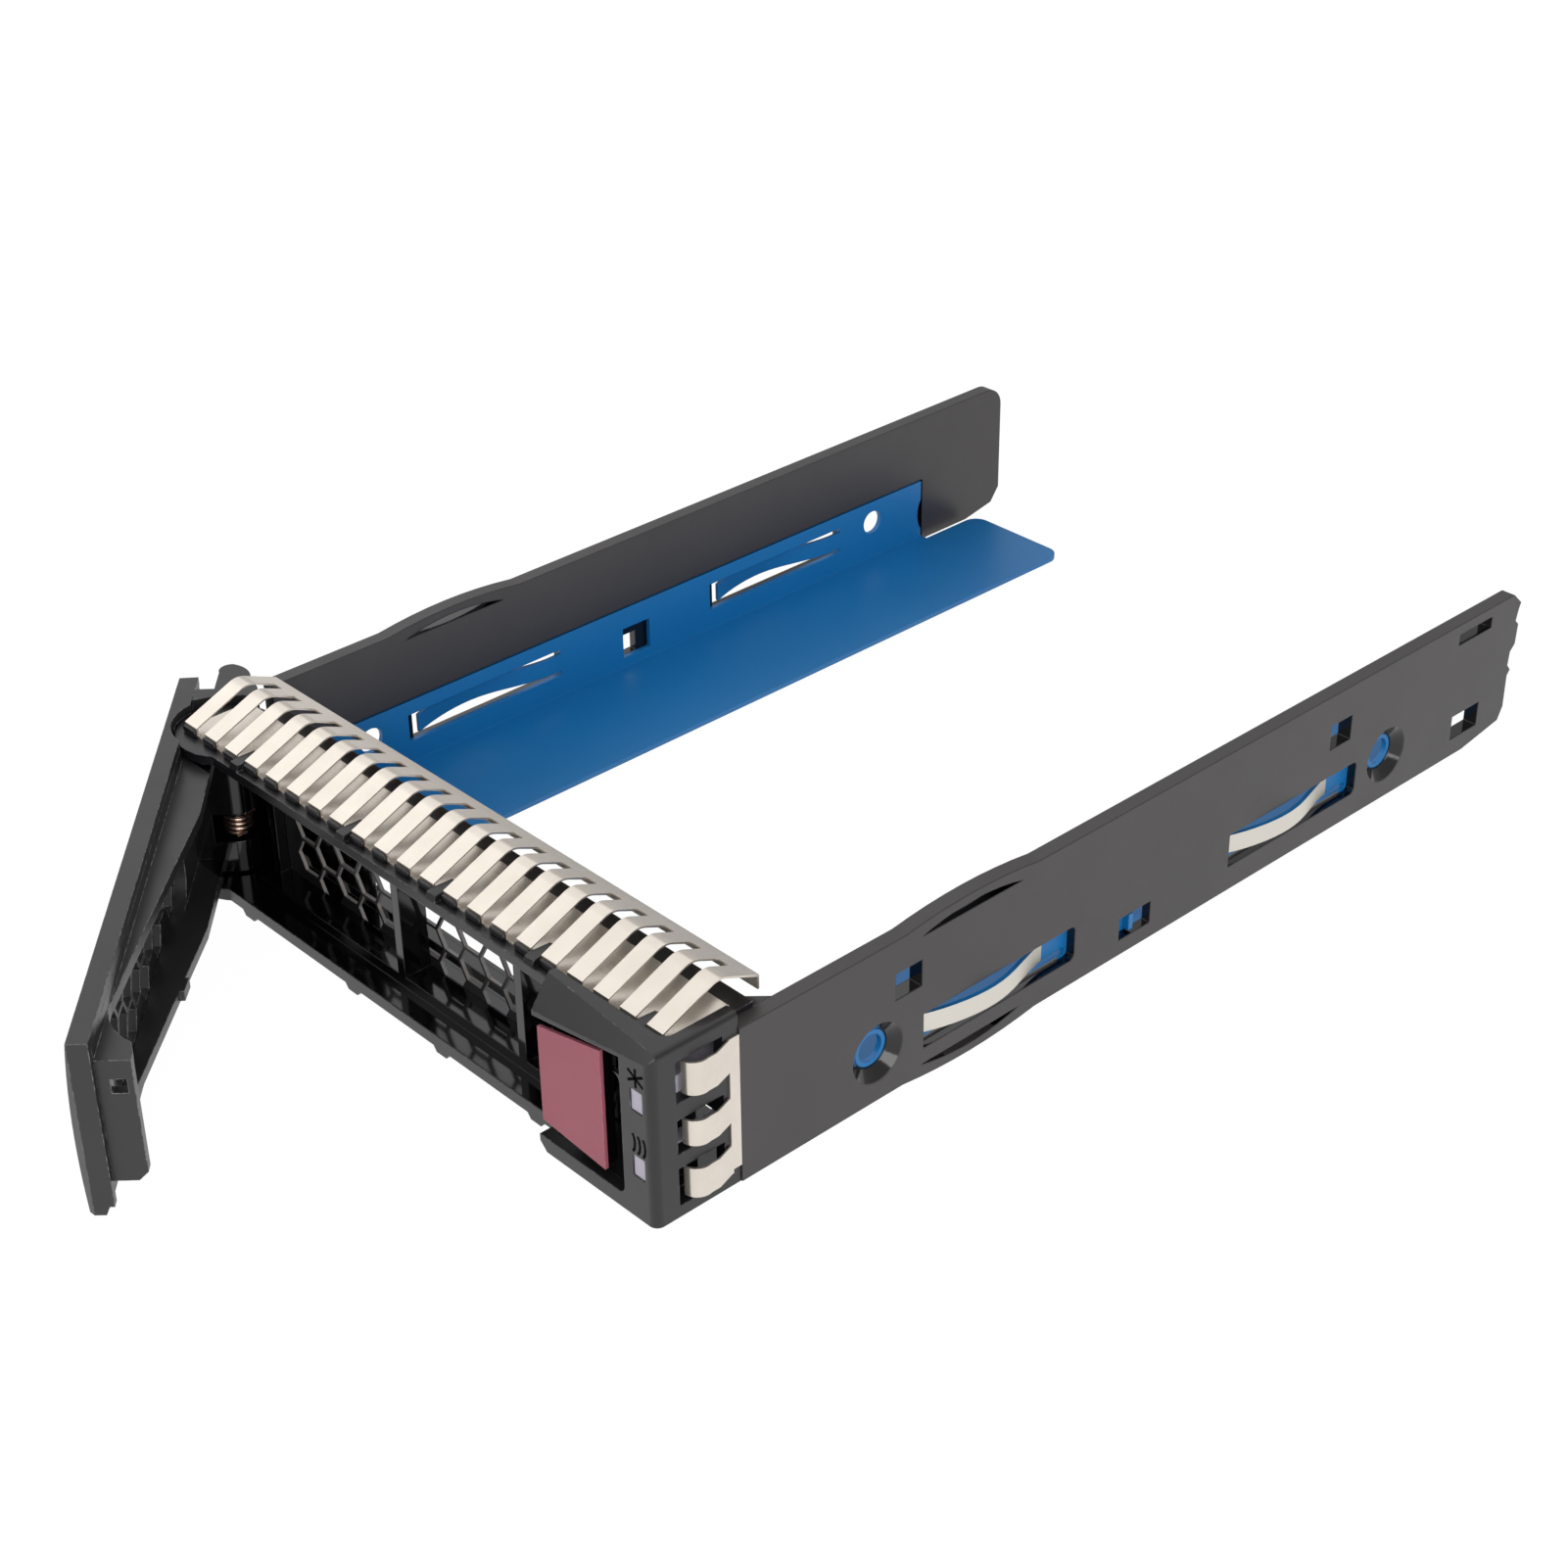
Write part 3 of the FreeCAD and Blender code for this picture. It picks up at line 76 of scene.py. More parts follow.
# Painted shade under the top strip's finger tips: black blocks that cover the strip's hem
FINGERS = 21             # of the whole strip
OPEN_FINGERS = 17        # of them, those that stand before the vent and not before the housing
FINGER_SLOT = 1.95       # between two fingers
SHADE_BLOCK = (2.9, 0.45, 1.05)       # width, depth and height of a block
SHADE_BLOCK_GRID = (4, 3, 3)          # its corners along each side, before it is rounded
SHADE_BLOCK_GAP = 0.05                # from the fingers to the blocks

# The black plate behind the screen at the hinge end of the vent
BAFFLE_LEFT, BAFFLE_RIGHT = -37.4, -20.0
BAFFLE_THICK = 0.8
BAFFLE_BACK = 1.9        # from the screen's back to the plate
BAFFLE_BAYS = 3
RIB_ROUND = 0.4          # the soft fold between two bays
EDGE_ROUND = 0.15        # all its other edges

# The marks over the light windows: a star, and three arcs
MARK_SIZE = 1.3          # half a mark's height
MARK_RISE = 3.3          # from a light window's centre to its mark's centre
MARK_STROKE = 0.4        # width of a stroke
MARK_PROUD = 0.05        # thickness of the print
STROKE_TOP = 0.7         # a stroke's flat top as a share of its width
STAR_SLOPE = 0.6         # rise of the star's slanted strokes, per length
ARC_ANGLES = (0.2, 0.9, 1.6, 2.3, 3.0)
ARC_BULGE = 0.35         # share of a mark's size
ARC_PLACES = (-0.8, -0.1, 0.6)


# ------------------------------------------------------------------ small helpers

def srgb(code):
    """A hex colour as linear red, green and blue, opaque."""
    values = [int(code[i:i + 2], 16) / 255 for i in (1, 3, 5)]
    return (*[v / 12.92 if v <= 0.04045 else ((v + 0.055) / 1.055) ** 2.4 for v in values], 1.0)


def add(tree, kind, settings=None, **links):
    """One node: attributes in settings, inputs by name or as i0, i1... A socket is linked, any
    other value is set on the input."""
    made = tree.nodes.new(kind)
    for key, value in (settings or {}).items():
        setattr(made, key, value)
    for key, value in links.items():
        place = int(key[1:]) if key[1:].isdigit() else key.replace("_", " ")
        if isinstance(value, bpy.types.NodeSocket):
            tree.links.new(value, made.inputs[place])
        else:
            made.inputs[place].default_value = value
    return made


def start(name):
    """A named material with an empty tree, and the object's own coordinates."""
    material = bpy.data.materials.new(name)
    material.use_nodes = True
    tree = material.node_tree
    tree.nodes.clear()
    return material, tree, add(tree, "ShaderNodeTexCoord").outputs["Object"]


def stand(name, data):
    """An object for a mesh, lamp or camera, at the origin and in the scene."""
    made = bpy.data.objects.new(name, data)
    bpy.context.collection.objects.link(made)
    return made


# Settings of the nodes that come up again and again
COLOURS = {"data_type": "RGBA"}
MINUS, TIMES = ({"operation": kind} for kind in ("SUBTRACT", "MULTIPLY"))
SIZE_OF, LARGER = ({"operation": kind} for kind in ("ABSOLUTE", "MAXIMUM"))
OVER, UNDER, NEAR = ({"operation": kind} for kind in ("GREATER_THAN", "LESS_THAN", "COMPARE"))
SOFT = {"samples": 4}


# ------------------------------------------------------------------ plastics

PLASTIC_IOR = 1.54
DRIFT_MM = 24            # slow tone drift, as handling leaves it
PATCH_MM = 5             # patches of more and less gloss
SPECKLE_MM = 0.9            # specks that break up the painted edge tone
EDGE_BEGINS, EDGE_FULL = 0.985, 0.86    # cosines of how far a surface turns at an edge
GLOSS_SWING = 0.07       # how far a patch's roughness strays from the finish's own
POLISHED_TONE = "#060507"
POLISHED_ROUGH = 0.1
POLISHED_GRAIN = 0.1     # share of the grain's depth that is left


def moulded(name, deep, lit, rough, grain_mm, grain_depth_mm, painted_edge_tone, edge_mm, edge_speckle,
            polished=None):
    """Injection-moulded plastic: a spark-eroded grain, slow tone drift from handling, and a painted
    edge
    tone along its edges: painted shade where that tone is darker than the plastic, a painted
    highlight where it is lighter, broken up by specks that on pale edges also stand for rubbed
    wear.
    Edge_speckle is the noise range over which an edge goes from plain to fully painted. Polished is
    a box, lowest and highest corner in mm with x either side of the middle when both are positive,
    in which the mould was polished and the plastic mirrors."""
    material, tree, where = start(name)
    drift = add(tree, "ShaderNodeTexNoise", Vector=where, Scale=1 / (DRIFT_MM * MM), Detail=3.0)
    patch = add(tree, "ShaderNodeTexNoise", Vector=where, Scale=1 / (PATCH_MM * MM), Detail=4.0)
    grain = add(tree, "ShaderNodeTexNoise", Vector=where, Scale=1 / (grain_mm * MM), Detail=2.0,
                Roughness=0.7)
    speckle = add(tree, "ShaderNodeTexNoise", Vector=where, Scale=1 / (SPECKLE_MM * MM), Detail=3.0,
                Roughness=0.6)
    tone = add(tree, "ShaderNodeMix", COLOURS, i0=drift.outputs["Fac"], i6=srgb(deep),
               i7=srgb(lit)).outputs[2]

    # An edge is where the softened surface turns away from the flat one; there the painted edge
    # tone is laid on, as painted shade when it is dark and as painted highlight when it is pale;
    # specks break it up.
    soft = add(tree, "ShaderNodeBevel", SOFT, Radius=edge_mm * MM).outputs["Normal"]
    flat = add(tree, "ShaderNodeNewGeometry").outputs["Normal"]
    turned = add(tree, "ShaderNodeVectorMath", {"operation": "DOT_PRODUCT"}, i0=soft,
                 i1=flat).outputs["Value"]
    edge = add(tree, "ShaderNodeMapRange", Value=turned, From_Min=EDGE_BEGINS,
               From_Max=EDGE_FULL).outputs["Result"]
    specks = add(tree, "ShaderNodeMapRange", Value=speckle.outputs["Fac"], From_Min=edge_speckle[0],
                 From_Max=edge_speckle[1]).outputs["Result"]
    painted_edge = add(tree, "ShaderNodeMath", TIMES, i0=edge, i1=specks).outputs[0]
    colour = add(tree, "ShaderNodeMix", COLOURS, i0=painted_edge, i6=tone, i7=srgb(painted_edge_tone)).outputs[2]
    gloss = add(tree, "ShaderNodeMapRange", Value=patch.outputs["Fac"], To_Min=rough - GLOSS_SWING,
                To_Max=rough + GLOSS_SWING).outputs["Result"]
    depth = grain_depth_mm * MM

    if polished:
        low, high = (Vector(corner) * MM for corner in polished)
        spot = where
        if low.x > 0:
            spot = add(tree, "ShaderNodeVectorMath", SIZE_OF, i0=where).outputs[0]
        away = add(tree, "ShaderNodeVectorMath", MINUS, i0=spot, i1=(low + high) / 2).outputs[0]
        span = add(tree, "ShaderNodeVectorMath", SIZE_OF, i0=away).outputs[0]
        beyond = add(tree, "ShaderNodeVectorMath", MINUS, i0=span, i1=(high - low) / 2).outputs[0]
        over = add(tree, "ShaderNodeSeparateXYZ", Vector=beyond).outputs
        widest = add(tree, "ShaderNodeMath", LARGER, i0=over["X"], i1=over["Y"]).outputs[0]
        widest = add(tree, "ShaderNodeMath", LARGER, i0=widest, i1=over["Z"]).outputs[0]
        inside = add(tree, "ShaderNodeMath", UNDER, i0=widest, i1=0.0).outputs[0]
        colour = add(tree, "ShaderNodeMix", COLOURS, i0=inside, i6=colour,
                     i7=srgb(POLISHED_TONE)).outputs[2]
        gloss = add(tree, "ShaderNodeMix", i0=inside, i2=gloss, i3=POLISHED_ROUGH).outputs[0]
        depth = add(tree, "ShaderNodeMapRange", Value=inside, To_Min=depth,
                    To_Max=depth * POLISHED_GRAIN).outputs[0]

    bump = add(tree, "ShaderNodeBump", Strength=1.0, Distance=depth, Height=grain.outputs["Fac"],
               Normal=soft)
    shader = add(tree, "ShaderNodeBsdfPrincipled", Base_Color=colour, Roughness=gloss,
                 Normal=bump.outputs["Normal"], IOR=PLASTIC_IOR)
    add(tree, "ShaderNodeOutputMaterial", Surface=shader.outputs[0])
    return material


# Where each mould was polished: the walls of the rails' windows and screw recesses, the bezel
# behind the vent's opening, and the lever round its hinge.
RAIL_POLISH = ((50.98, 1.0, 0.6), (53.02, 170, 21.7))
BEZEL_POLISH = ((-60, -5.1, 1.5), (31.4, 12, 21.7))
LEVER_POLISH = ((-52, -6.5, -1), (-37.4, 8, 22))

# Glass-filled polycarbonate: a dry, faintly mottled charcoal. Its rounded edges carry a painted
# shade in black, almost unbroken, and the walls of its windows and screw recesses are glossy.
RAIL = moulded("glass_filled_polycarbonate", deep="#2a2728", lit="#332f30", rough=0.38,
               grain_mm=0.35, grain_depth_mm=0.01, painted_edge_tone="#0b0a0b", edge_mm=0.28,
               edge_speckle=(0.1, 0.2), polished=RAIL_POLISH)
# Satin ABS blend of the bezel: near black, so that most of what is seen on it is what it mirrors.
# Its mould was polished behind the vent's opening, where it mirrors the screen like dark glass. Its
# edges carry a painted pale grey highlight, broken into specks that also stand for rubbed wear.
BEZEL = moulded("satin_black_abs", deep="#0e0d0f", lit="#151316", rough=0.33,
                grain_mm=0.35, grain_depth_mm=0.006, painted_edge_tone="#8a878b", edge_mm=0.22,
                edge_speckle=(0.5, 0.7), polished=BEZEL_POLISH)
# Textured ABS of the lever: charcoal with a fine dry grain, polished round the hinge, its edges
# given a painted pale highlight, broken into specks that also stand for rubbed wear.
LEVER = moulded("textured_charcoal_abs", deep="#1c1b1d", lit="#252426", rough=0.37,
                grain_mm=0.28, grain_depth_mm=0.012, painted_edge_tone="#a09ea1", edge_mm=0.2,
                edge_speckle=(0.42, 0.62), polished=LEVER_POLISH)
# Polished ABS of the button's body and the baffle: a wet-looking black in dark recesses, its edges
# given a faint painted highlight, broken into specks.
KEY = moulded("polished_black_abs", deep="#070608", lit="#0b0a0c", rough=0.15,
              grain_mm=0.9, grain_depth_mm=0.001, painted_edge_tone="#1c1a1d", edge_mm=0.1,
              edge_speckle=(0.5, 0.7))
# Soft-touch insert: dusty magenta with almost no shine; its edges carry a painted paler highlight,
# broken into specks that also stand for rubbed wear.
TOUCH = moulded("dusty_magenta_touch_plastic", deep="#944e5c", lit="#9d5461", rough=0.6,
                grain_mm=0.22, grain_depth_mm=0.01, painted_edge_tone="#c98b97", edge_mm=0.12,
                edge_speckle=(0.4, 0.6))


def acrylic(cloud_mm=1.2, frost_mm=0.15, frost_depth_mm=0.006, ior=1.49):
    """Frosted clear acrylic: milky lilac-grey, its tone clouded a little at random."""
    material, tree, where = start("frosted_light_pipe_acrylic")
    cloud = add(tree, "ShaderNodeTexNoise", Vector=where, Scale=1 / (cloud_mm * MM), Detail=3.0)
    tone = add(tree, "ShaderNodeMix", COLOURS, i0=cloud.outputs["Fac"], i6=srgb("#a29dab"),
               i7=srgb("#b8b3c0"))
    frost = add(tree, "ShaderNodeTexNoise", Vector=where, Scale=1 / (frost_mm * MM), Detail=2.0)
    bump = add(tree, "ShaderNodeBump", Strength=0.6, Distance=frost_depth_mm * MM,
               Height=frost.outputs["Fac"])
    gloss = add(tree, "ShaderNodeMapRange", Value=cloud.outputs["Fac"], To_Min=0.3, To_Max=0.45)
    shader = add(tree, "ShaderNodeBsdfPrincipled", Base_Color=tone.outputs[2],
                 Roughness=gloss.outputs[0], Normal=bump.outputs["Normal"], IOR=ior)
    add(tree, "ShaderNodeOutputMaterial", Surface=shader.outputs[0])
    return material


# ------------------------------------------------------------------ metals

STAIN_MM = 4             # finger stains on bare metal
STREAK_DEPTH_MM = 0.002  # of the lines that rolling or drawing leaves
STREAK_SWING = 0.04      # how far a streak's roughness strays from the finish's own


def strip_metal(name, deep, lit, rough, streak_mm, edge_mm=0.05, metallic=1.0):
    """Rolled or drawn metal left bright: fine streaks along the rolling and faint finger stains.
    Streak_mm is a streak's size along x, y and z."""
    material, tree, where = start(name)
    along = add(tree, "ShaderNodeMapping", Vector=where,
                Scale=tuple(1 / (size * MM) for size in streak_mm))
    streaks = add(tree, "ShaderNodeTexNoise", Vector=along.outputs[0], Scale=1.0, Detail=3.0)
    stain = add(tree, "ShaderNodeTexNoise", Vector=where, Scale=1 / (STAIN_MM * MM), Detail=3.0)
    tone = add(tree, "ShaderNodeMix", COLOURS, i0=stain.outputs["Fac"], i6=srgb(deep),
               i7=srgb(lit))
    gloss = add(tree, "ShaderNodeMapRange", Value=streaks.outputs["Fac"],
                To_Min=rough - STREAK_SWING, To_Max=rough + STREAK_SWING)
    soft = add(tree, "ShaderNodeBevel", SOFT, Radius=edge_mm * MM).outputs["Normal"]
    bump = add(tree, "ShaderNodeBump", Strength=0.3, Distance=STREAK_DEPTH_MM * MM,
               Height=streaks.outputs["Fac"], Normal=soft)
    shader = add(tree, "ShaderNodeBsdfPrincipled", Base_Color=tone.outputs[2],
                 Roughness=gloss.outputs[0], Normal=bump.outputs["Normal"], Metallic=metallic)
    add(tree, "ShaderNodeOutputMaterial", Surface=shader.outputs[0])
    return material


# Satin nickel plating on spring steel: warm silver, partly milky, its rolling lines across the
# bezel.
NICKEL = strip_metal("nickel_plated_spring_strip", deep="#d2c9be", lit="#e2dad0", rough=0.24,
                     streak_mm=(6.0, 0.3, 6.0), metallic=0.8)
# Copper-nickel spring wire, drawn: brownish silver turns.
WIRE = strip_metal("drawn_spring_wire", deep="#a68d7c", lit="#c2ab9b", rough=0.28,
                   streak_mm=(0.8, 0.8, 0.15), edge_mm=0.02)
# Spring wire of the button, darkened as painted shade for its recess: dark turns with a thin shine.
SHADED_WIRE = strip_metal("spring_wire_in_painted_shade", deep="#2b292a", lit="#383536", rough=0.3,
                        streak_mm=(0.8, 0.8, 0.15), edge_mm=0.02)
# Ground steel pins: grey and fairly smooth.
PIN = strip_metal("ground_steel_pin", deep="#8c8c8e", lit="#a8a8aa", rough=0.3,
                  streak_mm=(3.0, 3.0, 0.2))


def coated_steel(drift_mm=30, peel_mm=0.5, peel_depth_mm=0.004, edge_mm=0.12):
    """Blue powder-coated sheet steel with a faint orange peel. The sprung leaves' outer faces are
    left as bare plated metal."""
    material, tree, where = start("blue_coated_sheet_steel")
    drift = add(tree, "ShaderNodeTexNoise", Vector=where, Scale=1 / (drift_mm * MM), Detail=2.0)
    peel = add(tree, "ShaderNodeTexNoise", Vector=where, Scale=1 / (peel_mm * MM), Detail=2.0)
    blue = add(tree, "ShaderNodeMix", COLOURS, i0=drift.outputs["Fac"], i6=srgb("#0965a1"),
               i7=srgb("#0d6fae"))

    # Bare where a face stands proud of the wall, looks outwards and lies along a leaf.
    place = add(tree, "ShaderNodeSeparateXYZ", Vector=where).outputs
    out = add(tree, "ShaderNodeMath", SIZE_OF, i0=place["X"]).outputs[0]
    proud = add(tree, "ShaderNodeMath", OVER, i0=out, i1=LEAF_WALL_X * MM).outputs[0]
    faces = add(tree, "ShaderNodeTexCoord").outputs["Normal"]
    side = add(tree, "ShaderNodeSeparateXYZ", Vector=faces).outputs["X"]
    outward = add(tree, "ShaderNodeMath", TIMES, i0=side, i1=place["X"]).outputs[0]
    facing = add(tree, "ShaderNodeMath", OVER, i0=outward, i1=0.0).outputs[0]
    off = add(tree, "ShaderNodeMath", MINUS, i0=place["Y"], i1=LEAF_MIDDLE_Y * MM).outputs[0]
    off = add(tree, "ShaderNodeMath", SIZE_OF, i0=off).outputs[0]
    along = add(tree, "ShaderNodeMath", NEAR, i0=off, i1=LEAF_SPREAD_Y * MM,
                i2=LEAF_HALF * MM).outputs[0]
    leaf = add(tree, "ShaderNodeMath", TIMES, i0=proud, i1=along).outputs[0]
    bare = add(tree, "ShaderNodeMath", TIMES, i0=leaf, i1=facing).outputs[0]

    colour = add(tree, "ShaderNodeMix", COLOURS, i0=bare, i6=blue.outputs[2], i7=srgb("#d8d4cb"))
    soft = add(tree, "ShaderNodeBevel", SOFT, Radius=edge_mm * MM).outputs["Normal"]
    bump = add(tree, "ShaderNodeBump", Strength=0.4, Distance=peel_depth_mm * MM,
               Height=peel.outputs["Fac"], Normal=soft)
    gloss = add(tree, "ShaderNodeMapRange", Value=drift.outputs["Fac"], To_Min=0.36, To_Max=0.46)
    shader = add(tree, "ShaderNodeBsdfPrincipled", Base_Color=colour.outputs[2],
                 Roughness=gloss.outputs[0], Normal=bump.outputs["Normal"], Metallic=bare)
    add(tree, "ShaderNodeOutputMaterial", Surface=shader.outputs[0])
    return material


def pierced_steel(drift_mm=3, coat_depth_mm=0.004, cut_cosine=0.5):
    """Black-coated screen sheet whose punched edges are painted pale grey, for the bare steel there
    and as a painted highlight for the thin light they catch: a face is one of them when it looks
    less than cut_cosine along the vent."""
    material, tree, where = start("black_coated_pierced_steel")
    drift = add(tree, "ShaderNodeTexNoise", Vector=where, Scale=1 / (drift_mm * MM), Detail=3.0)
    black = add(tree, "ShaderNodeMix", COLOURS, i0=drift.outputs["Fac"], i6=srgb("#111012"),
                i7=srgb("#1a191b"))
    faces = add(tree, "ShaderNodeTexCoord").outputs["Normal"]
    across = add(tree, "ShaderNodeSeparateXYZ", Vector=faces).outputs["Y"]
    level = add(tree, "ShaderNodeMath", SIZE_OF, i0=across).outputs[0]
    cut = add(tree, "ShaderNodeMath", UNDER, i0=level, i1=cut_cosine).outputs[0]
    # The hole walls' pale grey: bare cut steel, and painted highlight for the light on them.
    colour = add(tree, "ShaderNodeMix", COLOURS, i0=cut, i6=black.outputs[2], i7=srgb("#8d8986"))
    gloss = add(tree, "ShaderNodeMapRange", Value=drift.outputs["Fac"], To_Min=0.25, To_Max=0.4)
    bump = add(tree, "ShaderNodeBump", Strength=0.3, Distance=coat_depth_mm * MM,
               Height=drift.outputs["Fac"])
    shader = add(tree, "ShaderNodeBsdfPrincipled", Base_Color=colour.outputs[2],
                 Roughness=gloss.outputs[0], Normal=bump.outputs["Normal"])
    add(tree, "ShaderNodeOutputMaterial", Surface=shader.outputs[0])
    return material


BLUE = coated_steel()
SCREEN = pierced_steel()
PIPE = acrylic()

FINISH = {RAIL: ("rail_right", "rail_left"),
          BLUE: ("bracket_right", "bracket_left"),
          BEZEL: ("bezel_frame",),
          SCREEN: ("vent_screen",),
          NICKEL: ("finger_strip_top", "finger_strip_side"),
          PIPE: ("light_pipe_upper", "light_pipe_lower"),
          LEVER: ("lever_cover", "lever_arm"),
          PIN: ("hinge_pin", "button_pin"),
          WIRE: ("hinge_spring",),
          SHADED_WIRE: ("button_spring",),
          TOUCH: ("button_face",),
          KEY: ("button_body",)}
for material, names in FINISH.items():
    for name in names:
        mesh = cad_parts[name].data
        mesh.materials.clear()
        mesh.materials.append(material)


# ------------------------------------------------------------------ what repeats, from node trees

def grower(name, **kinds):
    """An empty Geometry Nodes tree with named inputs, and their sockets inside it."""
    tree = bpy.data.node_groups.new(name, "GeometryNodeTree")
    for label, kind in kinds.items():
        tree.interface.new_socket(label, in_out="INPUT", socket_type="NodeSocket" + kind)
    tree.interface.new_socket("Geometry", in_out="OUTPUT", socket_type="NodeSocketGeometry")
    return tree, add(tree, "NodeGroupInput").outputs


def ended(tree, shape, finish):
    """The tree with its end: real geometry in one finish."""
    real = add(tree, "GeometryNodeRealizeInstances", Geometry=shape)
    dressed = add(tree, "GeometryNodeSetMaterial", Geometry=real.outputs[0], Material=finish)
    add(tree, "NodeGroupOutput", Geometry=dressed.outputs[0])
    return tree


def grown(name, tree, values):
    """The plain mesh that a tree makes from values, as a piece at the origin."""
    seed = stand(name + "_seed", bpy.data.meshes.new(name + "_seed"))
    modifier = seed.modifiers.new("grow", "NODES")
    modifier.node_group = tree
    for item in tree.interface.items_tree:
        if item.in_out == "INPUT":
            modifier[item.identifier] = values[item.name]
    view = bpy.context.evaluated_depsgraph_get()
    mesh = bpy.data.meshes.new_from_object(seed.evaluated_get(view))
    mesh.name = name
    bpy.data.objects.remove(seed)
    for face in mesh.polygons:
        face.use_smooth = True
    return stand(name, mesh)


def coil_tree():
    """A round-wire torsion spring: a helix with a straight leg at each end."""
    tree, given = grower("torsion_coil", Turns="Float", Radius="Float", Height="Float",
                         Wire="Float", Leg="Float", Foot="Vector", Finish="Material")
    radius, height, leg = given["Radius"], given["Height"], given["Leg"]
    helix = add(tree, "GeometryNodeCurveSpiral", Resolution=STEPS_PER_TURN,
                Rotations=given["Turns"], Start_Radius=radius, End_Radius=radius, Height=height)
    back = add(tree, "ShaderNodeMath", TIMES, i0=leg, i1=-1.0).outputs[0]
    low = add(tree, "ShaderNodeCombineXYZ", X=radius)
    low_end = add(tree, "ShaderNodeCombineXYZ", X=radius, Y=back)
    high = add(tree, "ShaderNodeCombineXYZ", X=radius, Z=height)
    high_end = add(tree, "ShaderNodeCombineXYZ", X=radius, Y=leg, Z=height)
    joined = add(tree, "GeometryNodeJoinGeometry")
    tree.links.new(helix.outputs["Curve"], joined.inputs[0])
    for near, far in ((low, low_end), (high, high_end)):
        line = add(tree, "GeometryNodeCurvePrimitiveLine", Start=near.outputs[0],
                   End=far.outputs[0])
        tree.links.new(line.outputs["Curve"], joined.inputs[0])
    section = add(tree, "GeometryNodeCurvePrimitiveCircle", Resolution=WIRE_SIDES,
                  Radius=given["Wire"])
    wire = add(tree, "GeometryNodeCurveToMesh", Curve=joined.outputs[0],
               Profile_Curve=section.outputs["Curve"], Fill_Caps=True)
    placed = add(tree, "GeometryNodeTransform", Geometry=wire.outputs[0],
                 Translation=given["Foot"])
    return ended(tree, placed.outputs[0], given["Finish"])


def coil(name, node, finish, wire_mm, turns, leg_mm):
    """A round-wire coil in the room of its packed spring."""
    low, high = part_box(node)
    wire = wire_mm * MM
    foot = Vector(((low[0] + high[0]) / 2, (low[1] + high[1]) / 2, low[2] + wire))
    piece = grown(name, coil_tree(), {
        "Turns": float(turns), "Radius": (high[0] - low[0]) / 2 - wire,
        "Height": high[2] - low[2] - 2 * wire, "Wire": wire, "Leg": leg_mm * MM, "Foot": foot,
        "Finish": finish})
    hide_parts(node)
    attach(piece, "carrier")


def shade_block_tree():
    """A row of small rounded blocks, one under each finger's tip."""
    tree, given = grower("tip_shade_blocks", Count="Int", Pitch="Float", First="Vector", Size="Vector",
                         Finish="Material")
    step = add(tree, "ShaderNodeCombineXYZ", X=given["Pitch"])
    row = add(tree, "GeometryNodeMeshLine", {"mode": "OFFSET"}, Count=given["Count"],
              Start_Location=given["First"], Offset=step.outputs[0])
    block = add(tree, "GeometryNodeMeshCube", Size=given["Size"], Vertices_X=SHADE_BLOCK_GRID[0],
                Vertices_Y=SHADE_BLOCK_GRID[1], Vertices_Z=SHADE_BLOCK_GRID[2])
    rounded = add(tree, "GeometryNodeSubdivisionSurface", Mesh=block.outputs["Mesh"], Level=1)
    stood = add(tree, "GeometryNodeInstanceOnPoints", Points=row.outputs["Mesh"],
                Instance=rounded.outputs[0])
    return ended(tree, stood.outputs[0], given["Finish"])


def hem_shade_blocks():
    """Black blocks of painted shade over the top strip's hem, from its hinge end to the housing."""
    low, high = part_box("finger_strip_top")
    slot = FINGER_SLOT * MM
    pitch = (high[0] - low[0] + slot) / FINGERS
    width, depth, height = (size * MM for size in SHADE_BLOCK)
    first = Vector((low[0] + (pitch - slot) / 2, low[1] - SHADE_BLOCK_GAP * MM - depth / 2,
                    low[2] + height / 2))
    piece = grown("tip_shade_blocks", shade_block_tree(), {
        "Count": OPEN_FINGERS, "Pitch": pitch, "First": first,
        "Size": Vector((width, depth, height)), "Finish": BEZEL})
    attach(piece, "carrier")


coil("hinge_coil", "hinge_spring", WIRE, *HINGE_COIL)
coil("button_coil", "button_spring", SHADED_WIRE, *BUTTON_COIL)
hem_shade_blocks()


# ------------------------------------------------------------------ baffle behind the vent

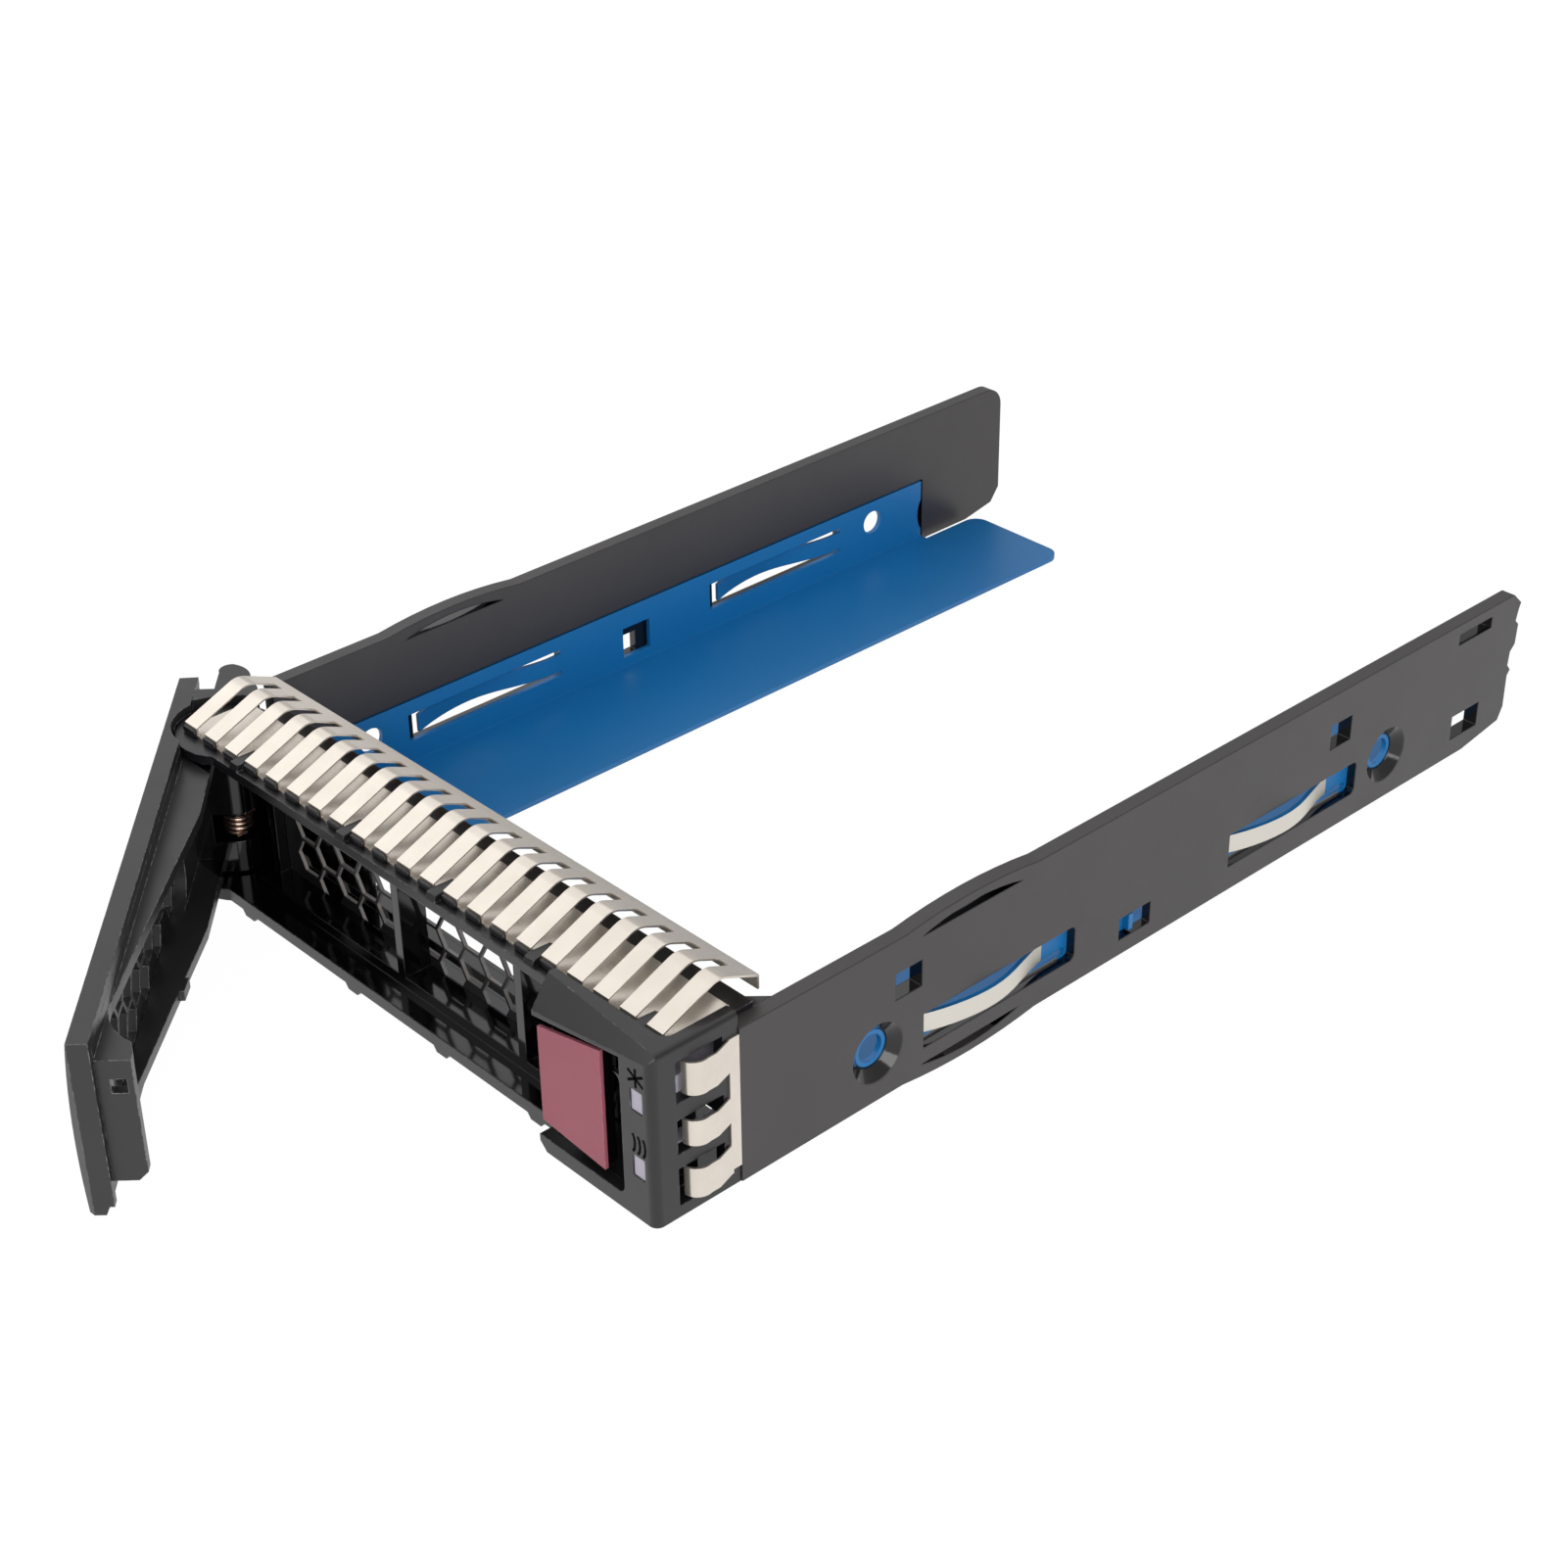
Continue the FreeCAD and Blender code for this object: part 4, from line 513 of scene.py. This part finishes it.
def baffle():
    """A ribbed black plate behind the screen, at the hinge end of the vent."""
    left, right, thick = (size * MM for size in (BAFFLE_LEFT, BAFFLE_RIGHT, BAFFLE_THICK))
    low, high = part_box("vent_screen")
    near = high[1] + BAFFLE_BACK * MM
    shape = bmesh.new()
    for k in range(BAFFLE_BAYS + 1):
        for z in (low[2], high[2]):
            for y in (near, near + thick):
                shape.verts.new((left + (right - left) * k / BAFFLE_BAYS, y, z))
    shape.verts.ensure_lookup_table()
    v = shape.verts
    for k in range(BAFFLE_BAYS):
        a = 4 * k
        for p, q, r, t in ((0, 4, 6, 2), (1, 3, 7, 5), (0, 1, 5, 4), (2, 6, 7, 3)):
            shape.faces.new((v[a + p], v[a + q], v[a + r], v[a + t]))
    shape.faces.new((v[0], v[2], v[3], v[1]))
    end = 4 * BAFFLE_BAYS
    shape.faces.new((v[end], v[end + 1], v[end + 3], v[end + 2]))
    bmesh.ops.recalc_face_normals(shape, faces=shape.faces)
    ribs = [e for e in shape.edges if abs(e.verts[0].co.x - e.verts[1].co.x) < 0.001 * MM
            and left + MM < e.verts[0].co.x < right - MM
            and min(p.co.y for p in e.verts) > near + thick / 2]
    bmesh.ops.bevel(shape, geom=ribs, offset=RIB_ROUND * MM, segments=2, affect="EDGES")
    mesh = bpy.data.meshes.new("vent_baffle")
    shape.to_mesh(mesh)
    shape.free()
    mesh.materials.append(KEY)
    piece = stand("vent_baffle", mesh)
    edge = piece.modifiers.new("soft_edges", "BEVEL")
    edge.width = EDGE_ROUND * MM
    edge.segments = 2
    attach(piece, "carrier")


baffle()


# ------------------------------------------------------------------ marks over the light windows

def printed_ink(press_mm=0.3, press_depth_mm=0.005, ior=1.15):
    """Pad-printed matte ink: a dead black that mirrors almost nothing, slightly uneven where it was
    pressed."""
    material, tree, where = start("matte_black_ink")
    press = add(tree, "ShaderNodeTexNoise", Vector=where, Scale=1 / (press_mm * MM), Detail=2.0)
    tone = add(tree, "ShaderNodeMix", COLOURS, i0=press.outputs["Fac"], i6=srgb("#030303"),
               i7=srgb("#0a090a"))
    bump = add(tree, "ShaderNodeBump", Strength=0.5, Distance=press_depth_mm * MM,
               Height=press.outputs["Fac"])
    shader = add(tree, "ShaderNodeBsdfPrincipled", Base_Color=tone.outputs[2], Roughness=0.9,
                 IOR=ior, Normal=bump.outputs["Normal"])
    add(tree, "ShaderNodeOutputMaterial", Surface=shader.outputs[0])
    return material


def stroke(line, width, height, y):
    """Corners and faces of a raised flat-topped stroke along (x, z) points, standing out to -y."""
    corners, faces = [], []
    for i, (x, z) in enumerate(line):
        before, after = line[max(i - 1, 0)], line[min(i + 1, len(line) - 1)]
        way = Vector((after[0] - before[0], after[1] - before[1])).normalized() * width / 2
        for side in (1, -1):
            top = side * STROKE_TOP
            corners.append((x - way.y * side, y, z + way.x * side))
            corners.append((x - way.y * top, y - height, z + way.x * top))
    for i in range(len(line) - 1):
        a = 4 * i
        for p, q in ((0, 1), (1, 3), (3, 2), (2, 0)):
            faces.append((a + p, a + q, a + 4 + q, a + 4 + p))
    end = len(corners) - 4
    return corners, faces + [(0, 2, 3, 1), (end, end + 1, end + 3, end + 2)]


def mark(name, node, lines, ink):
    """A mark printed on the housing's front, above a light window: lines are (x, z) points from
    its centre, in shares of its size."""
    low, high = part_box(node)
    x, z = (low[0] + high[0]) / 2, (low[2] + high[2]) / 2 + MARK_RISE * MM
    size = MARK_SIZE * MM
    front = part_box("bezel_frame")[0][1]
    corners, faces = [], []
    for line in lines:
        points = [(x + across * size, z + up * size) for across, up in line]
        some, round_them = stroke(points, MARK_STROKE * MM, MARK_PROUD * MM, front)
        faces += [tuple(len(corners) + k for k in face) for face in round_them]
        corners += some
    mesh = bpy.data.meshes.new(name)
    mesh.from_pydata(corners, [], faces)
    mesh.materials.append(ink)
    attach(stand(name, mesh), "carrier")


INK = printed_ink()
STAR = [[(-1, -STAR_SLOPE), (1, STAR_SLOPE)], [(-1, STAR_SLOPE), (1, -STAR_SLOPE)],
        [(0, -1), (0, 1)]]
ARCS = [[(math.sin(a) * ARC_BULGE + place, math.cos(a)) for a in ARC_ANGLES]
        for place in ARC_PLACES]
mark("alert_mark", "light_pipe_upper", STAR, INK)
mark("drive_mark", "light_pipe_lower", ARCS, INK)


# ------------------------------------------------------------------ stage, light and camera

FLOOR_HALF = 3.0         # metres, as everything from here on
FLOOR_DROP = 0.00002     # the paper lies this far below the object
PAPER_GLOW = 1.02        # white, where the paper is seen or mirrored
GLOW_SHARE = 0.96        # the rest is the paper's own diffuse face, which holds the shadow
AIR_LIGHT = 0.32         # how strongly the white air lights the object
AIR_MIRRORED = 0.35      # how much of full white it shows in a reflection
WHITE = srgb("#ffffff")
AIM = (0.0, 0.06, 0.0)   # the lamps face the middle of the object
LAMPS = {                # place, width and power in watts
    "overhead_softbox": ((-0.25, 0.0, 0.95), 2.3, 10.0),
    "front_softbox": ((0.9, -0.4, 0.4), 0.8, 8.0),
    "left_softbox": ((-0.9, -0.6, 0.4), 1.6, 3.0)}
CAMERA_PLACE = (0.25053, -0.17006, 0.21678)
CAMERA_TURN = (47.276, 31.513, 0.724)     # azimuth, elevation and roll in degrees
CAMERA_LENS, CAMERA_SENSOR = 65.52, 36.0
CAMERA_NEAR = 0.01


def paper():
    """White seamless paper: white where it is seen or mirrored, with the object's soft shadow left
    on it."""
    material, tree, where = start("white_paper_floor")
    path = add(tree, "ShaderNodeLightPath").outputs
    plain = add(tree, "ShaderNodeBsdfDiffuse", Color=srgb("#f4f4f4"))
    glow = add(tree, "ShaderNodeEmission", Color=WHITE, Strength=PAPER_GLOW)
    seen = add(tree, "ShaderNodeMath", LARGER, i0=path["Is Camera Ray"], i1=path["Is Glossy Ray"])
    clear = add(tree, "ShaderNodeMath", LARGER, i0=seen.outputs[0],
                i1=path["Is Transmission Ray"])
    share = add(tree, "ShaderNodeMath", TIMES, i0=clear.outputs[0], i1=GLOW_SHARE)
    mixed = add(tree, "ShaderNodeMixShader", Fac=share.outputs[0], i1=plain.outputs[0],
                i2=glow.outputs[0])
    add(tree, "ShaderNodeOutputMaterial", Surface=mixed.outputs[0])
    return material


def lay_floor():
    """A sheet of paper under the object."""
    z = cad_box[0][2] - FLOOR_DROP
    h = FLOOR_HALF
    sheet = bpy.data.meshes.new("paper_floor")
    sheet.from_pydata([(-h, -h, z), (h, -h, z), (h, h, z), (-h, h, z)], [], [(0, 1, 2, 3)])
    sheet.materials.append(paper())
    stand("paper_floor", sheet)


def softbox(name, place, width, power):
    """A square studio lamp that faces the object."""
    lamp = bpy.data.lights.new(name, "AREA")
    lamp.size = width
    lamp.energy = power
    made = stand(name, lamp)
    made.location = place
    made.rotation_euler = (Vector(AIM) - Vector(place)).to_track_quat("-Z", "Y").to_euler()


def white_air():
    """White surroundings that light the object gently, and are full white where they are seen."""
    world = bpy.data.worlds.new("studio_air")
    bpy.context.scene.world = world
    world.use_nodes = True
    tree = world.node_tree
    tree.nodes.clear()
    path = add(tree, "ShaderNodeLightPath").outputs
    lit = add(tree, "ShaderNodeBackground", Color=WHITE, Strength=AIR_LIGHT)
    seen = add(tree, "ShaderNodeBackground", Color=WHITE, Strength=1.0)
    mirrored = add(tree, "ShaderNodeMath", TIMES, i0=path["Is Glossy Ray"], i1=AIR_MIRRORED)
    shown = add(tree, "ShaderNodeMath", LARGER, i0=path["Is Camera Ray"], i1=mirrored.outputs[0])
    through = add(tree, "ShaderNodeMath", LARGER, i0=shown.outputs[0],
                  i1=path["Is Transmission Ray"])
    both = add(tree, "ShaderNodeMixShader", Fac=through.outputs[0], i1=lit.outputs[0],
               i2=seen.outputs[0])
    add(tree, "ShaderNodeOutputWorld", Surface=both.outputs[0])


def set_camera():
    """The camera, turned by its azimuth, elevation and roll."""
    data = bpy.data.cameras.new("studio_camera")
    data.lens = CAMERA_LENS
    data.sensor_width = CAMERA_SENSOR
    data.clip_start = CAMERA_NEAR
    camera = stand("studio_camera", data)
    azimuth, elevation, roll = (math.radians(angle) for angle in CAMERA_TURN)
    camera.location = CAMERA_PLACE
    ahead = Vector((-math.sin(azimuth) * math.cos(elevation),
                    math.cos(azimuth) * math.cos(elevation), -math.sin(elevation)))
    across = ahead.cross(Vector((0, 0, 1))).normalized()
    right = across * math.cos(roll) + ahead.cross(across) * math.sin(roll)
    turn = Matrix((right, right.cross(ahead), -ahead)).transposed()
    camera.rotation_euler = turn.to_euler()
    bpy.context.scene.camera = camera


lay_floor()
for name, (place, width, power) in LAMPS.items():
    softbox(name, place, width, power)
white_air()
set_camera()
bpy.context.scene.view_settings.view_transform = "Standard"
